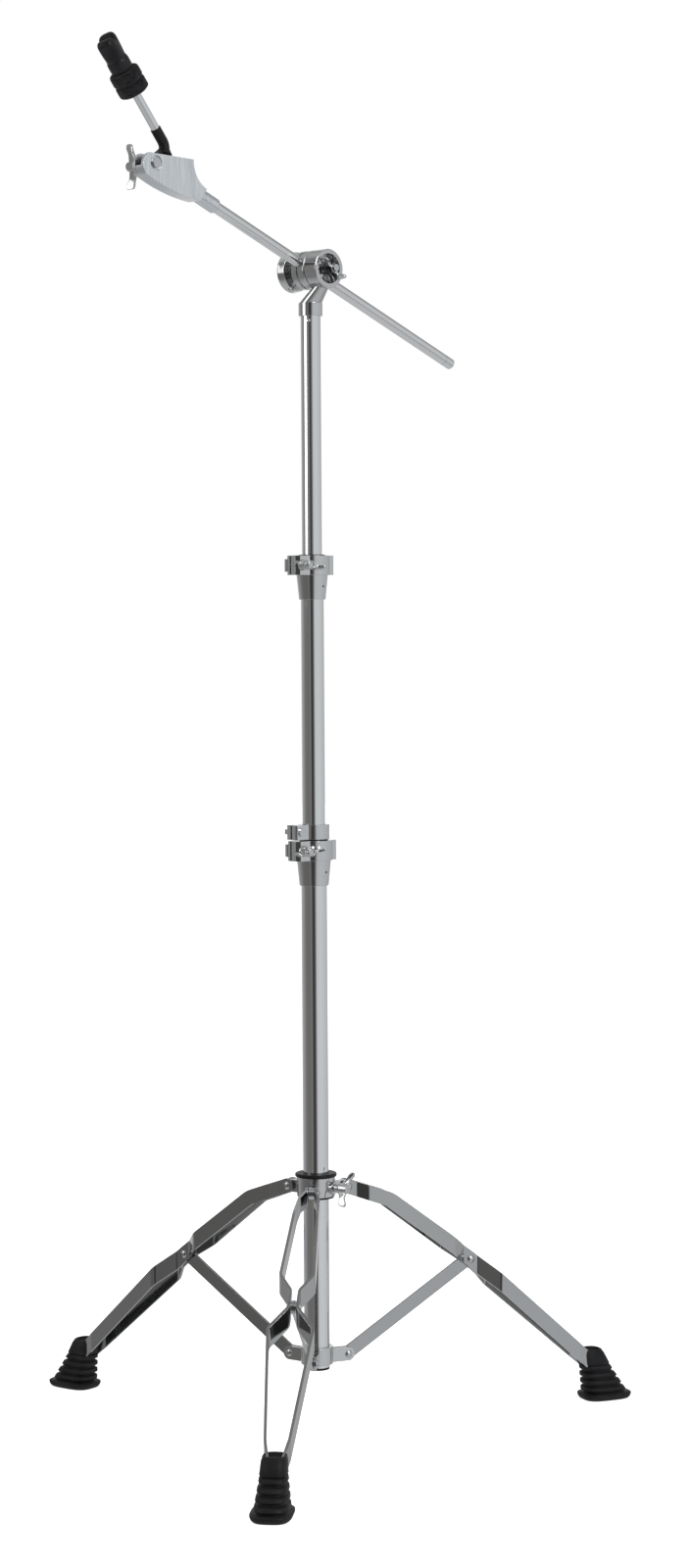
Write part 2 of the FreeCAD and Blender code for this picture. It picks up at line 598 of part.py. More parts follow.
def make_leg(name, direction):
    """Two straps, strut, rivet with spacers, and foot of one leg."""
    clearance = OPEN_PIN_CLEARANCE if name in OPEN_LEGS else PIN_CLEARANCE
    straps = {"near": leg_strap(-1, clearance), "far": leg_strap(1, clearance)}
    boot = foot()
    for place, bar in straps.items():
        boot = boot.cut(bar)
        save(name + "_leg_strap_" + place, turned(bar, direction))
    save(name + "_foot", turned(boot, direction))
    save(name + "_strut", turned(strut(), direction))
    grip = STRAP_PINCH_OFFSET + STRAP_THICKNESS / 2
    elbow = V(ELBOW_PIVOT_RADIUS, 0, ELBOW_PIVOT_HEIGHT)
    pin = rivet(PIN_RADIUS, grip, RIVET_HEAD_RADIUS, RIVET_HEAD_HEIGHT)
    save(name + "_leg_rivet", turned(moved(pin, elbow), direction))
    inner_face = STRUT_THICKNESS / 2 + SIDE_GAP
    outer_face = STRAP_PINCH_OFFSET - STRAP_THICKNESS / 2
    spacers = []
    for side in (1, -1):
        start = elbow + V(0, side * inner_face, 0)
        end = elbow + V(0, side * outer_face, 0)
        spacers.append(turned(ring(SPACER_RADIUS, PIN_RADIUS + SEAT_CLEARANCE, start, end), direction))
    save(name + "_leg_spacers", *spacers)


def lug(spot, inner_radius, half_height, y_range):
    """Plate from the column to a rounded end about a pivot."""
    x_range = (inner_radius, spot[0])
    plate = block(x_range, y_range, (spot[1] - half_height, spot[1] + half_height))
    tip = cylinder(half_height, V(spot[0], y_range[0], spot[1]), V(spot[0], y_range[1], spot[1]))
    return plate.fuse(tip)


def make_lower_bracket():
    """Fixed ring with three clevises, and the rivets that hold the struts."""
    bore = LOWER_TUBE_RADIUS + SEAT_CLEARANCE
    outer = LOWER_TUBE_RADIUS + BRACKET_WALL
    bottom = STRUT_PIVOT_HEIGHT - BRACKET_EAR_HALF_HEIGHT
    body = cylinder(outer, V(0, 0, bottom), V(0, 0, bottom + BRACKET_HEIGHT))
    inside = STRUT_THICKNESS / 2 + SIDE_GAP
    outside = inside + BRACKET_EAR_THICKNESS
    rivets = []
    pin = moved(rivet(PIN_RADIUS, outside, *FIXED_RIVET_HEAD), V(PIVOT_RADIUS, 0, STRUT_PIVOT_HEIGHT))
    for direction in LEG_NAMES.values():
        for faces in ((inside, outside), (-outside, -inside)):
            ear = lug(STRUT_PIVOT, LOWER_TUBE_RADIUS + PAST, BRACKET_EAR_HALF_HEIGHT, faces)
            ear = ear.cut(across(PIN_RADIUS + SEAT_CLEARANCE, STRUT_PIVOT))
            body = body.fuse(turned(ear, direction))
        rivets.append(turned(pin, direction))
    top = bottom + BRACKET_HEIGHT
    body = body.cut(cylinder(bore, V(0, 0, bottom - PAST), V(0, 0, top + PAST)))
    save("lower_bracket", body.removeSplitter())
    save("bracket_rivets", *rivets)


def make_leg_collar():
    """Sliding ring with three lugs, its nylon bushing, the leg rivets and the wing bolt."""
    seat = LOWER_TUBE_RADIUS + COLLAR_BUSHING_WALL
    outer = seat + COLLAR_WALL
    bottom = LEG_PIVOT_HEIGHT + COLLAR_CENTRE_DROP - COLLAR_HEIGHT / 2
    top = bottom + COLLAR_HEIGHT
    body = cylinder(outer, V(0, 0, bottom), V(0, 0, top))
    half_lug = STRAP_TOP_OFFSET - STRAP_THICKNESS / 2 - SIDE_GAP
    grip = STRAP_TOP_OFFSET + STRAP_THICKNESS / 2 + SIDE_GAP
    rivets = []
    pin = rivet(PIN_RADIUS, grip, RIVET_HEAD_RADIUS, RIVET_HEAD_HEIGHT)
    pin = moved(pin, V(PIVOT_RADIUS, 0, LEG_PIVOT_HEIGHT))
    for direction in LEG_NAMES.values():
        arm = lug(LEG_PIVOT, seat + PAST, COLLAR_LUG_HALF_HEIGHT, (-half_lug, half_lug))
        arm = arm.cut(across(PIN_RADIUS + SEAT_CLEARANCE, LEG_PIVOT))
        body = body.fuse(turned(arm, direction))
        rivets.append(turned(pin, direction))
    middle = (bottom + top) / 2
    boss_radius, boss_length = COLLAR_BOSS
    boss_end = outer + boss_length
    boss = cylinder(boss_radius, V(seat + PAST, 0, middle), V(boss_end, 0, middle))
    body = body.fuse(turned(boss, COLLAR_BOLT_DIRECTION))
    body = body.cut(cylinder(seat + SEAT_CLEARANCE, V(0, 0, bottom - PAST), V(0, 0, top + PAST)))
    tip = LOWER_TUBE_RADIUS + SIDE_GAP
    hole_radius = COLLAR_BOLT_RADIUS + PIN_CLEARANCE
    bolt_hole = cylinder(hole_radius, V(tip - PAST, 0, middle), V(boss_end + PAST, 0, middle))
    bolt_hole = turned(bolt_hole, COLLAR_BOLT_DIRECTION)
    save("leg_collar", body.cut(bolt_hole).removeSplitter())
    save("leg_pivot_rivets", *rivets)

    slide = LOWER_TUBE_RADIUS + SLIDE_CLEARANCE
    sleeve = upright(seat, slide, bottom, top)
    flange_reach = outer + COLLAR_FLANGE_REACH
    flange = upright(flange_reach, slide, top + FACE_GAP, top + COLLAR_FLANGE_HEIGHT)
    rim = [e for e in flange.Edges if e.BoundBox.XMax > outer and e.BoundBox.ZLength < FACE_GAP]
    flange = flange.makeFillet(1.6, rim)
    neck = upright(seat, slide, top, top + COLLAR_FLANGE_HEIGHT / 2)
    lip = upright(outer - 1.2, slide, bottom - COLLAR_LIP, bottom - FACE_GAP)
    tail = upright(seat, slide, bottom - COLLAR_LIP / 2, bottom)
    save("collar_bushing", joined(sleeve, neck, flange, tail, lip).cut(bolt_hole))

    head_start = boss_end + COLLAR_BOLT_NECK
    shaft = cylinder(COLLAR_BOLT_RADIUS, V(tip, 0, middle), V(head_start, 0, middle))
    head = taper(6.2, 5.4, ORIGIN, V(0, 0, 9.0))
    wings = wing_plate(20.0, 7.0, (1.0, 9.0), (3.0, 15.0), WING_THICKNESS)
    head = turned(joined(head, wings), COLLAR_BOLT_TURN)
    head = set_at(head, V(head_start, 0, middle), X, Y)
    save("collar_wing_bolt", turned(joined(shaft, head), COLLAR_BOLT_DIRECTION))


# ================================================================ tilter
def place_boom(shape):
    """From the rod's own frame (X along it, Y towards the near side) to the stand."""
    copy = turned(shape, -BOOM_ELEVATION, Y)
    return place_level(copy)


def place_level(shape):
    """From the tilter's level frame to the stand."""
    copy = turned(shape, BOOM_DIRECTION)
    copy.translate(V(0, 0, MARKS["tilter"]))
    return copy


def along_y(radius, start, end):
    """Round bar on the tilter axis."""
    return cylinder(radius, V(0, start, 0), V(0, end, 0))


CUP_BACK = DRUM_NEAR + DISC_THICKNESS + FACE_GAP + SIDE_GAP
CUP_FACE = CUP_BACK + CUP_DEPTH


def make_tilter_base():
    """Socket on the upper tube, an arm to one side and a ribbed cup that faces outwards."""
    socket_radius = UPPER_TUBE_RADIUS + SOCKET_WALL
    socket_top = -TILTER_RISE
    socket_bottom = socket_top - SOCKET_HEIGHT
    socket = cylinder(socket_radius, V(0, 0, socket_bottom), V(0, 0, socket_top))
    cup_middle = (CUP_BACK + CUP_FACE) / 2
    foot_wire = Part.Wire(Part.makeCircle(socket_radius - 0.6, V(0, 0, socket_top), Z))
    head_height = -DRUM_RADIUS + ARM_HEAD_DEPTH
    head_wire = Part.Wire(Part.makeCircle(ARM_HEAD_RADIUS, V(0, cup_middle, head_height), Z))
    arm = Part.makeLoft([foot_wire, head_wire], True, True)
    arm = arm.cut(along_y(DRUM_RADIUS + 2 * SIDE_GAP, DRUM_FAR - NOSE_LENGTH, CUP_BACK))
    cup = along_y(DRUM_RADIUS, CUP_BACK, CUP_FACE)
    rims = [e for e in cup.Edges if e.BoundBox.YLength < FACE_GAP]
    cup = cup.makeFillet(1.2, rims)
    body = joined(socket, arm, cup)
    floor = CUP_BACK + CUP_FLOOR
    body = body.cut(along_y(DRUM_RADIUS - CUP_WALL, floor, CUP_FACE + PAST))
    rib_start, rib_height, rib_width = CUP_RIB
    rib_reach = (rib_start, DRUM_RADIUS - CUP_WALL + PAST / 2)
    rib = block(rib_reach, (floor - PAST / 2, floor + rib_height), (-rib_width / 2, rib_width / 2))
    for index in range(CUP_RIBS):
        body = body.fuse(turned(rib, index * 360 / CUP_RIBS, Y))
    body = body.cut(along_y(EYE_BOLT_RADIUS + PIN_CLEARANCE, CUP_BACK - PAST, CUP_FACE))
    bore = UPPER_TUBE_RADIUS + SEAT_CLEARANCE
    tube_end = socket_bottom + SOCKET_DEPTH + FACE_GAP
    body = body.cut(cylinder(bore, V(0, 0, socket_bottom - PAST), V(0, 0, tube_end)))
    save("tilter_base", place_level(body.removeSplitter()))


def make_tilter_drum():
    """Rod clamp: a drum crossed by the rod, with the eye bolt inside it and a washer on its face."""
    drum = along_y(DRUM_RADIUS, DRUM_FAR, DRUM_NEAR)
    rims = [e for e in drum.Edges if e.BoundBox.YLength < FACE_GAP]
    drum = drum.makeFillet(1.5, rims)
    nose_end = DRUM_FAR - NOSE_LENGTH
    drum = joined(drum, along_y(NOSE_RADIUS, nose_end, DRUM_FAR + PAST))
    hole_reach = DRUM_RADIUS + PAST
    rod_hole = cylinder(ROD_RADIUS + SLIDE_CLEARANCE, V(-hole_reach, 0, 0), V(hole_reach, 0, 0))
    eye_half = EYE_WIDTH / 2 + SIDE_GAP
    pocket = cylinder(EYE_RADIUS + SIDE_GAP, V(-eye_half, 0, 0), V(eye_half, 0, 0))
    groove_depth, groove_width = DRUM_GROOVE
    groove_ends = (V(0, -groove_width / 2, 0), V(0, groove_width / 2, 0))
    groove = ring(DRUM_RADIUS + PAST, DRUM_RADIUS - groove_depth, *groove_ends)
    drum = drum.cut(rod_hole).cut(pocket).cut(groove)
    drum = drum.cut(along_y(EYE_BOLT_RADIUS + SEAT_CLEARANCE, 0, DRUM_NEAR + PAST))
    drum = drum.cut(along_y(EYE_BOLT_RADIUS + PIN_CLEARANCE, nose_end - PAST, 0))
    save("tilter_drum", place_boom(drum))

    start = DRUM_NEAR + FACE_GAP
    washer_bore = EYE_BOLT_RADIUS + 0.2
    washer_end = V(0, start + DISC_THICKNESS, 0)
    washer = ring(DRUM_RADIUS - 1.5, washer_bore, V(0, start, 0), washer_end)
    save("tilter_washer", place_boom(washer))

    eye = cylinder(EYE_RADIUS, V(-EYE_WIDTH / 2, 0, 0), V(EYE_WIDTH / 2, 0, 0))
    bolt = joined(eye, along_y(EYE_BOLT_RADIUS, EYE_RADIUS - 1.5, CUP_FACE + 11.5))
    bolt = bolt.cut(cylinder(ROD_RADIUS + SLIDE_CLEARANCE, V(-EYE_WIDTH, 0, 0), V(EYE_WIDTH, 0, 0)))
    save("tilter_eye_bolt", place_boom(bolt))

    nut_start = CUP_BACK + CUP_FLOOR + CUP_RIB[1] + SIDE_GAP
    nut_length = CUP_FACE + 9.0 - nut_start
    wing_start = CUP_FACE - nut_start + PAST
    nut = wing_nut(nut_length, 18.0, 6.2, EYE_BOLT_RADIUS + PIN_CLEARANCE, wing_start)
    nut = turned(nut, TILTER_NUT_TURN)
    save("tilter_wing_nut", place_level(set_at(nut, V(0, nut_start, 0), Y, X)))

    tip = -ROD_RADIUS - SIDE_GAP - 4.0
    head_start = nose_end - 2.0
    shaft = along_y(EYE_BOLT_RADIUS, tip, head_start)
    head = taper(6.2, 5.2, ORIGIN, V(0, 0, 8.0))
    wings = wing_plate(24.0, 7.0, (0.5, 8.0), (2.0, 13.0), WING_THICKNESS)
    head = turned(joined(head, wings), ROD_BOLT_TURN)
    head = set_at(head, V(0, head_start, 0), Y * -1, X)
    save("rod_wing_bolt", place_boom(joined(shaft, head)))


# ================================================================ boom and holder
def make_boom():
    """Hollow rod and the cap on its tail."""
    rod_start = ROD_TAIL + END_CAP_LENGTH
    rod_end = HOLDER_START + ROD_INSERTION
    inner = ROD_RADIUS - ROD_WALL
    rod = ring(ROD_RADIUS, inner, V(rod_start, 0, 0), V(rod_end, 0, 0))
    save("boom_rod", place_boom(rod))
    cap = cylinder(ROD_RADIUS, V(ROD_TAIL, 0, 0), V(rod_start - SIDE_GAP, 0, 0))
    edges = [e for e in cap.Edges if e.BoundBox.XMax < ROD_TAIL + FACE_GAP]
    cap = cap.makeFillet(1.0, edges)
    spigot = cylinder(inner - PIN_CLEARANCE, V(rod_start - PAST, 0, 0), V(rod_start + 12, 0, 0))
    save("boom_end_cap", place_boom(joined(cap, spigot)))


def holder_profile():
    """Side view of the rod holder: level top, hollow back edge and curved belly."""
    back = HOLDER_START + 27.0
    top_back = V(HOLDER_HINGE - 46.0, 28.0, 0)
    top_front = V(HOLDER_HINGE + 13.0, 6.0, 0)
    low_front = V(HOLDER_HINGE + 9.0, -17.0, 0)
    low_back = V(back, -HOLDER_SLEEVE_RADIUS, 0)
    high_back = V(back - 4, HOLDER_SLEEVE_RADIUS - 1, 0)
    edges = [Part.Arc(high_back, V(back + 16, 15.0, 0), top_back).toShape()]
    edges += [Part.makeLine(top_back, top_front)]
    edges += [Part.Arc(top_front, V(HOLDER_HINGE + 17.0, -6.0, 0), low_front).toShape()]
    edges += [Part.Arc(low_front, V(HOLDER_HINGE - 30.0, -16.5, 0), low_back).toShape()]
    edges += [Part.makeLine(low_back, high_back)]
    return Part.Face(Part.Wire(Part.__sortEdges__(edges)))


def make_holder():
    """Casting that grips the rod and carries the post's hinge, with its bolt, washer and wing nut."""
    body = side_prism(holder_profile(), HOLDER_HALF_WIDTH)
    sleeve_end = HOLDER_START + ROD_INSERTION + 4
    sleeve = cylinder(HOLDER_SLEEVE_RADIUS, V(HOLDER_START, 0, 0), V(sleeve_end, 0, 0))
    hinge = V(HOLDER_HINGE, 0, 0)
    boss = moved(along_y(HOLDER_BOSS_RADIUS, HOLDER_BOSS_FAR, -HOLDER_HALF_WIDTH + PAST), hinge)
    body = joined(body, sleeve, boss)
    slot_back = HOLDER_HINGE - 40.0
    half = HOLDER_SLOT_HALF_WIDTH
    slot_floor = -ELBOW_DISC_RADIUS - 0.8
    slot = block((slot_back, HOLDER_HINGE + 40), (-half, half), (slot_floor, 60))
    body = body.cut(slot)
    rod_end = HOLDER_START + ROD_INSERTION + FACE_GAP
    rod_seat = cylinder(ROD_RADIUS + SEAT_CLEARANCE, V(HOLDER_START - PAST, 0, 0), V(rod_end, 0, 0))
    body = body.cut(rod_seat)
    split_length, split_width = HOLDER_SPLIT
    split = (HOLDER_START - PAST, HOLDER_START + split_length)
    body = body.cut(block(split, (-2 * HOLDER_SLEEVE_RADIUS, 0), (-split_width / 2, split_width / 2)))
    near = HOLDER_HALF_WIDTH
    bolt_hole = along_y(HINGE_BOLT_RADIUS + SEAT_CLEARANCE, HOLDER_BOSS_FAR - PAST, near + PAST)
    body = body.cut(moved(bolt_hole, hinge))
    recess_radius, recess_depth = HINGE_RECESS
    recess_floor = near - recess_depth
    body = body.cut(moved(along_y(recess_radius, recess_floor, near + PAST), hinge))
    save("rod_holder", place_boom(body))

    shank = along_y(HINGE_BOLT_RADIUS, HOLDER_BOSS_FAR - HINGE_BOLT_TAIL, near)
    head = along_y(HINGE_HEAD_RADIUS, recess_floor + FACE_GAP, near + 1.6)
    save("hinge_bolt", place_boom(moved(joined(shank, head), hinge)))
    start = HOLDER_BOSS_FAR - FACE_GAP
    washer_radius, washer_thickness = HINGE_WASHER
    washer_end = start - washer_thickness
    washer = ring(washer_radius, HINGE_BOLT_RADIUS + SEAT_CLEARANCE, V(0, washer_end, 0), V(0, start, 0))
    save("hinge_washer", place_boom(moved(washer, hinge)))
    nut = wing_nut(*HINGE_NUT, HINGE_BOLT_RADIUS + PIN_CLEARANCE, 5.0)
    nut = turned(nut, 90.0 - BOOM_ELEVATION)
    seat = hinge + V(0, washer_end - SIDE_GAP, 0)
    save("hinge_wing_nut", place_boom(set_at(nut, seat, Y * -1, X)))


# ================================================================ cymbal post
def place_post(shape):
    """From the hinge's level frame (X towards the cymbal end) to the stand."""
    elevation = math.radians(BOOM_ELEVATION)
    offset = V(HOLDER_HINGE * math.cos(elevation), 0, HOLDER_HINGE * math.sin(elevation))
    return place_level(moved(shape, offset))


ELBOW_FOOT = V(-18.4, 0, 10.4)
POST_WAY = V(math.sin(math.radians(POST_LEAN)), 0, math.cos(math.radians(POST_LEAN)))
ELBOW_TIP = V(-7.9, 0, 36.3)
ELBOW_KNEE = ELBOW_TIP - POST_WAY * ELBOW_UPPER_LENGTH


def on_post(distance):
    """Point on the post's axis, measured from the end of the elbow."""
    return ELBOW_TIP + POST_WAY * distance


def make_elbow():
    """Black cast elbow: hinge eye, arm, flared seat and bent neck around the foot of the post."""
    half = HOLDER_SLOT_HALF_WIDTH - SIDE_GAP
    eye = along_y(ELBOW_DISC_RADIUS, -half, half)
    arm = ribbon([(-2.0, 1.0), (ELBOW_FOOT.x, ELBOW_FOOT.z + 2)], 1.0, 12.0)
    arm = side_prism(arm, half)
    low = ELBOW_FOOT + V(0, 0, 1.6)
    seat = taper(9.0, ELBOW_RADIUS + 0.4, low, low + V(-0.8, 0, 5.0))
    rise = (ELBOW_KNEE - low).normalize()
    turn = rise.getAngle(POST_WAY)
    trim = ELBOW_BEND * math.tan(turn / 2)
    bend_start = ELBOW_KNEE - rise * trim
    centre = bend_start + V(rise.z, 0, -rise.x) * ELBOW_BEND
    section = Part.Face(Part.Wire(Part.makeCircle(ELBOW_RADIUS, bend_start, rise)))
    bend = section.revolve(centre, Y, math.degrees(turn))
    neck = joined(cylinder(ELBOW_RADIUS, low, bend_start), bend)
    neck = joined(neck, cylinder(ELBOW_RADIUS, ELBOW_KNEE + POST_WAY * trim, on_post(2.0)))
    body = joined(eye, arm, seat, neck)
    body = body.cut(along_y(HINGE_BOLT_RADIUS + PIN_CLEARANCE, -half - PAST, half + PAST))
    socket = cylinder(POST_RADIUS + SEAT_CLEARANCE, on_post(-POST_SEAT_DEPTH), on_post(4.0))
    body = body.cut(socket)
    save("post_elbow", place_post(body))


def cymbal_nut():
    """Hand nut drawn about +Z: round neck flaring into two wings with a notch on top."""
    neck = cylinder(NUT_NECK_RADIUS, ORIGIN, V(0, 0, 15.0))
    flare = taper(NUT_NECK_RADIUS, NUT_SPAN / 2, V(0, 0, 13.0), V(0, 0, NUT_HEIGHT - 6))
    crown = taper(NUT_SPAN / 2, NUT_SPAN / 2 - 4, V(0, 0, NUT_HEIGHT - 6), V(0, 0, NUT_HEIGHT))
    slab = block((-NUT_SPAN, NUT_SPAN), (-10.5, 10.5), (-1, NUT_HEIGHT + 1))
    head = joined(flare, crown).common(slab)
    body = joined(neck, head)
    notch = cylinder(5.0, V(0, -20, NUT_HEIGHT + 1), V(0, 20, NUT_HEIGHT + 1))
    body = body.cut(notch)
    return body.cut(cylinder(POST_RADIUS + PIN_CLEARANCE, V(0, 0, -1), V(0, 0, NUT_HEIGHT - 9)))


def make_post():
    """Post rod, cup washer, sleeve, two felts and the hand nut, in order up the post."""
    post = cylinder(POST_RADIUS, on_post(2 * FACE_GAP - POST_SEAT_DEPTH), on_post(POST_TOP))
    save("post_rod", place_post(post))
    bottom = WASHER_POSITION
    felt_start = bottom + WASHER_THICKNESS + FACE_GAP
    bore = POST_RADIUS + SEAT_CLEARANCE
    washer = ring(FELT_RADIUS - 3, bore, on_post(bottom), on_post(bottom + WASHER_THICKNESS))
    save("cup_washer", place_post(washer))
    sleeve_outer = bore + SLEEVE_WALL
    felts_end = felt_start + 2 * FELT_THICKNESS + FACE_GAP
    save("cymbal_sleeve", place_post(ring(sleeve_outer, bore, on_post(felt_start), on_post(felts_end))))
    for index, name in enumerate(("lower_felt", "upper_felt")):
        start = felt_start + index * (FELT_THICKNESS + FACE_GAP)
        end = start + FELT_THICKNESS
        save(name, place_post(ring(FELT_RADIUS, sleeve_outer + FACE_GAP, on_post(start), on_post(end))))
    nut = set_at(cymbal_nut(), on_post(felts_end + SIDE_GAP), POST_WAY, V(POST_WAY.z, 0, -POST_WAY.x))
    save("cymbal_nut", place_post(nut))


def main():
    """Write every node."""
    os.makedirs("parts", exist_ok=True)
    make_column()
    make_lower_bracket()
    make_leg_collar()
    for name, direction in LEG_NAMES.items():
        make_leg(name, direction)
    make_tilter_base()
    make_tilter_drum()
    make_boom()
    make_holder()
    make_elbow()
    make_post()


main()
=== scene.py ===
"""Cymbal boom stand: finishes, moulded and cast pieces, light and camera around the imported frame."""
import bmesh
import bpy
import json
import math
from mathutils import Matrix, Vector, noise as field


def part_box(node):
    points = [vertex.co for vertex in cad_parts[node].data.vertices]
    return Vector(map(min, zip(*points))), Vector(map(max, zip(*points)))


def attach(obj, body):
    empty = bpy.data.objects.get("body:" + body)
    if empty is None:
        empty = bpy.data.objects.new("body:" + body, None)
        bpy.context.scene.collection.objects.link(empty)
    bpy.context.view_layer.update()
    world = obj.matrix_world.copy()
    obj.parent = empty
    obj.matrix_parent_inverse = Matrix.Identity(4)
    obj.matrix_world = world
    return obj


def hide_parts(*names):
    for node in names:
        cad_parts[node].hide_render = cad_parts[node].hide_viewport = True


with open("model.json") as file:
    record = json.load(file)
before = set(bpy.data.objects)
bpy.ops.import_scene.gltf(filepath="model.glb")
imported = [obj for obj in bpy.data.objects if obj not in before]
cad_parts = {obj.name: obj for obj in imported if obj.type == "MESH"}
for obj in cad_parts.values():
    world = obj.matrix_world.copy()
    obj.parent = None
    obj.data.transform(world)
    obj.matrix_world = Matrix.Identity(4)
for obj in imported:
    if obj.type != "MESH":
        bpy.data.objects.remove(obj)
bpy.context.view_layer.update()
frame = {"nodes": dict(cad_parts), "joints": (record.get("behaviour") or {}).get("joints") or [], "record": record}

MM = 0.001
NODES = frame["nodes"]
JOINTS = {joint["name"]: joint for joint in frame["joints"]}
UP = Vector((0, 0, 1))


# ---------------------------------------------------------------- camera, light and stage
CAMERA_DISTANCE = 3.6165
CAMERA_HEIGHT = 0.8989
CAMERA_AZIMUTH = math.radians(7.359)
CAMERA_YAW = math.radians(-0.5795)
CAMERA_PITCH = math.radians(0.0582)
CAMERA_ROLL = math.radians(-0.3635)
CAMERA_LENS = 75.07
CAMERA_SHIFT = -0.1047
BACKDROP_WHITE = 1.0
FLOOR_HALF = 12.0
FLOOR_GLOW = 0.75           # keeps the floor as white as the backdrop
KEY_POWER = 60
FILL_POWER = 25
BLACK_SPECULAR = 0.18       # below the usual 0.5, so that blacks stay black in a white room
FELT_SPECULAR = 0.08
FELT_SHEEN = 0.06
FELT_EDGE = 3.2 * MM


def add_camera():
    """Camera at the photograph's viewing angle."""
    data = bpy.data.cameras.new("camera")
    data.lens = CAMERA_LENS
    data.sensor_width = 36.0
    data.shift_y = CAMERA_SHIFT
    data.clip_end = 50.0
    camera = bpy.data.objects.new("camera", data)
    bpy.context.scene.collection.objects.link(camera)
    away = Vector((math.sin(CAMERA_AZIMUTH), -math.cos(CAMERA_AZIMUTH), 0))
    camera.location = away * CAMERA_DISTANCE + UP * CAMERA_HEIGHT
    turn = CAMERA_AZIMUTH + CAMERA_YAW
    upright = math.pi / 2 - CAMERA_PITCH
    look = Matrix.Rotation(turn, 4, "Z") @ Matrix.Rotation(upright, 4, "X")
    look = look @ Matrix.Rotation(CAMERA_ROLL, 4, "Z")
    camera.rotation_euler = look.to_euler()
    bpy.context.scene.camera = camera


def add_area_light(name, place, target, size, power):
    """Soft rectangular studio light aimed at a point."""
    data = bpy.data.lights.new(name, "AREA")
    data.shape = "RECTANGLE"
    data.size, data.size_y = size
    data.energy = power
    lamp = bpy.data.objects.new(name, data)
    lamp.location = place
    aim = Vector(target) - Vector(place)
    lamp.rotation_euler = aim.to_track_quat("-Z", "Y").to_euler()
    bpy.context.scene.collection.objects.link(lamp)


def link(tree, start, end):
    """Join two sockets of a node tree."""
    tree.links.new(start, end)


def add_world():
    """Pale studio: white behind the stand, a grey side, a dark gap and a bright side in its reflections."""
    world = bpy.data.worlds.new("studio")
    bpy.context.scene.world = world
    world.use_nodes = True
    tree = world.node_tree
    tree.nodes.clear()
    place = tree.nodes.new("ShaderNodeTexCoord")
    split = tree.nodes.new("ShaderNodeSeparateXYZ")
    link(tree, place.outputs["Generated"], split.inputs[0])
    angle = tree.nodes.new("ShaderNodeMath")
    angle.operation = "ARCTAN2"
    link(tree, split.outputs["X"], angle.inputs[0])
    link(tree, split.outputs["Y"], angle.inputs[1])
    share = tree.nodes.new("ShaderNodeMapRange")
    share.inputs["From Min"].default_value = -math.pi
    share.inputs["From Max"].default_value = math.pi
    link(tree, angle.outputs[0], share.inputs["Value"])
    around = tree.nodes.new("ShaderNodeValToRGB")
    fill_ramp(around.color_ramp, AROUND)
    link(tree, share.outputs[0], around.inputs[0])
    height = tree.nodes.new("ShaderNodeMapRange")
    height.inputs["From Min"].default_value = -1.0
    height.inputs["From Max"].default_value = 1.0
    link(tree, split.outputs["Z"], height.inputs["Value"])
    rise = tree.nodes.new("ShaderNodeValToRGB")
    fill_ramp(rise.color_ramp, RISE)
    link(tree, height.outputs[0], rise.inputs[0])
    mixed = tree.nodes.new("ShaderNodeMixRGB")
    tone = tree.nodes.new("ShaderNodeValToRGB")
    fill_ramp(tone.color_ramp, RISE_TONE)
    link(tree, height.outputs[0], tone.inputs[0])
    link(tree, tone.outputs["Color"], mixed.inputs["Color2"])
    link(tree, around.outputs["Color"], mixed.inputs["Color1"])
    link(tree, rise.outputs["Color"], mixed.inputs["Fac"])
    room = tree.nodes.new("ShaderNodeBackground")
    room.inputs["Strength"].default_value = 1.0
    link(tree, mixed.outputs[0], room.inputs["Color"])
    plain = tree.nodes.new("ShaderNodeBackground")
    plain.inputs["Color"].default_value = (1, 1, 1, 1)
    plain.inputs["Strength"].default_value = BACKDROP_WHITE
    path = tree.nodes.new("ShaderNodeLightPath")
    choose = tree.nodes.new("ShaderNodeMixShader")
    link(tree, path.outputs["Is Camera Ray"], choose.inputs["Fac"])
    link(tree, room.outputs[0], choose.inputs[1])
    link(tree, plain.outputs[0], choose.inputs[2])
    out = tree.nodes.new("ShaderNodeOutputWorld")
    link(tree, choose.outputs[0], out.inputs["Surface"])


def grey(level, tint=0.0):
    """Neutral colour; a positive tint is cooler."""
    return (level * (1 - tint), level, level * (1 + tint), 1)


# Position 0.5 is +Y (behind the stand), 0.25 is -X, 0.75 is +X, and 0 and 1 are -Y (the camera's side).
AROUND = [(0.0, grey(0.05)), (0.022, grey(0.07)), (0.045, grey(0.26, -0.02)), (0.09, grey(0.20, -0.03)),
          (0.20, grey(0.22, -0.02)), (0.29, grey(0.42)), (0.38, grey(0.60)), (0.48, grey(0.95)),
          (0.57, grey(0.55)), (0.65, grey(0.70, 0.02)), (0.82, grey(0.84, 0.03)), (0.915, grey(0.80, 0.02)),
          (0.937, grey(0.50)), (0.957, grey(0.20)), (0.972, grey(0.07))]
RISE = [(0.0, grey(0.9)), (0.20, grey(0.8)), (0.34, grey(0.0)), (0.64, grey(0.0)), (0.80, grey(0.8)),
        (1.0, grey(0.9))]
RISE_TONE = [(0.0, grey(0.72, 0.02)), (0.14, grey(0.66, 0.02)), (0.26, grey(0.20)), (0.34, grey(0.40)),
             (0.66, grey(0.40)), (0.74, grey(0.16)), (0.82, grey(0.34)), (0.90, grey(0.90, 0.02)),
             (1.0, grey(0.36))]


def fill_ramp(ramp, stops):
    """Set a colour ramp's stops."""
    while len(ramp.elements) > 1:
        ramp.elements.remove(ramp.elements[-1])
    ramp.elements[0].position = stops[0][0]
    ramp.elements[0].color = stops[0][1]
    for position, colour in stops[1:]:
        ramp.elements.new(position).color = colour


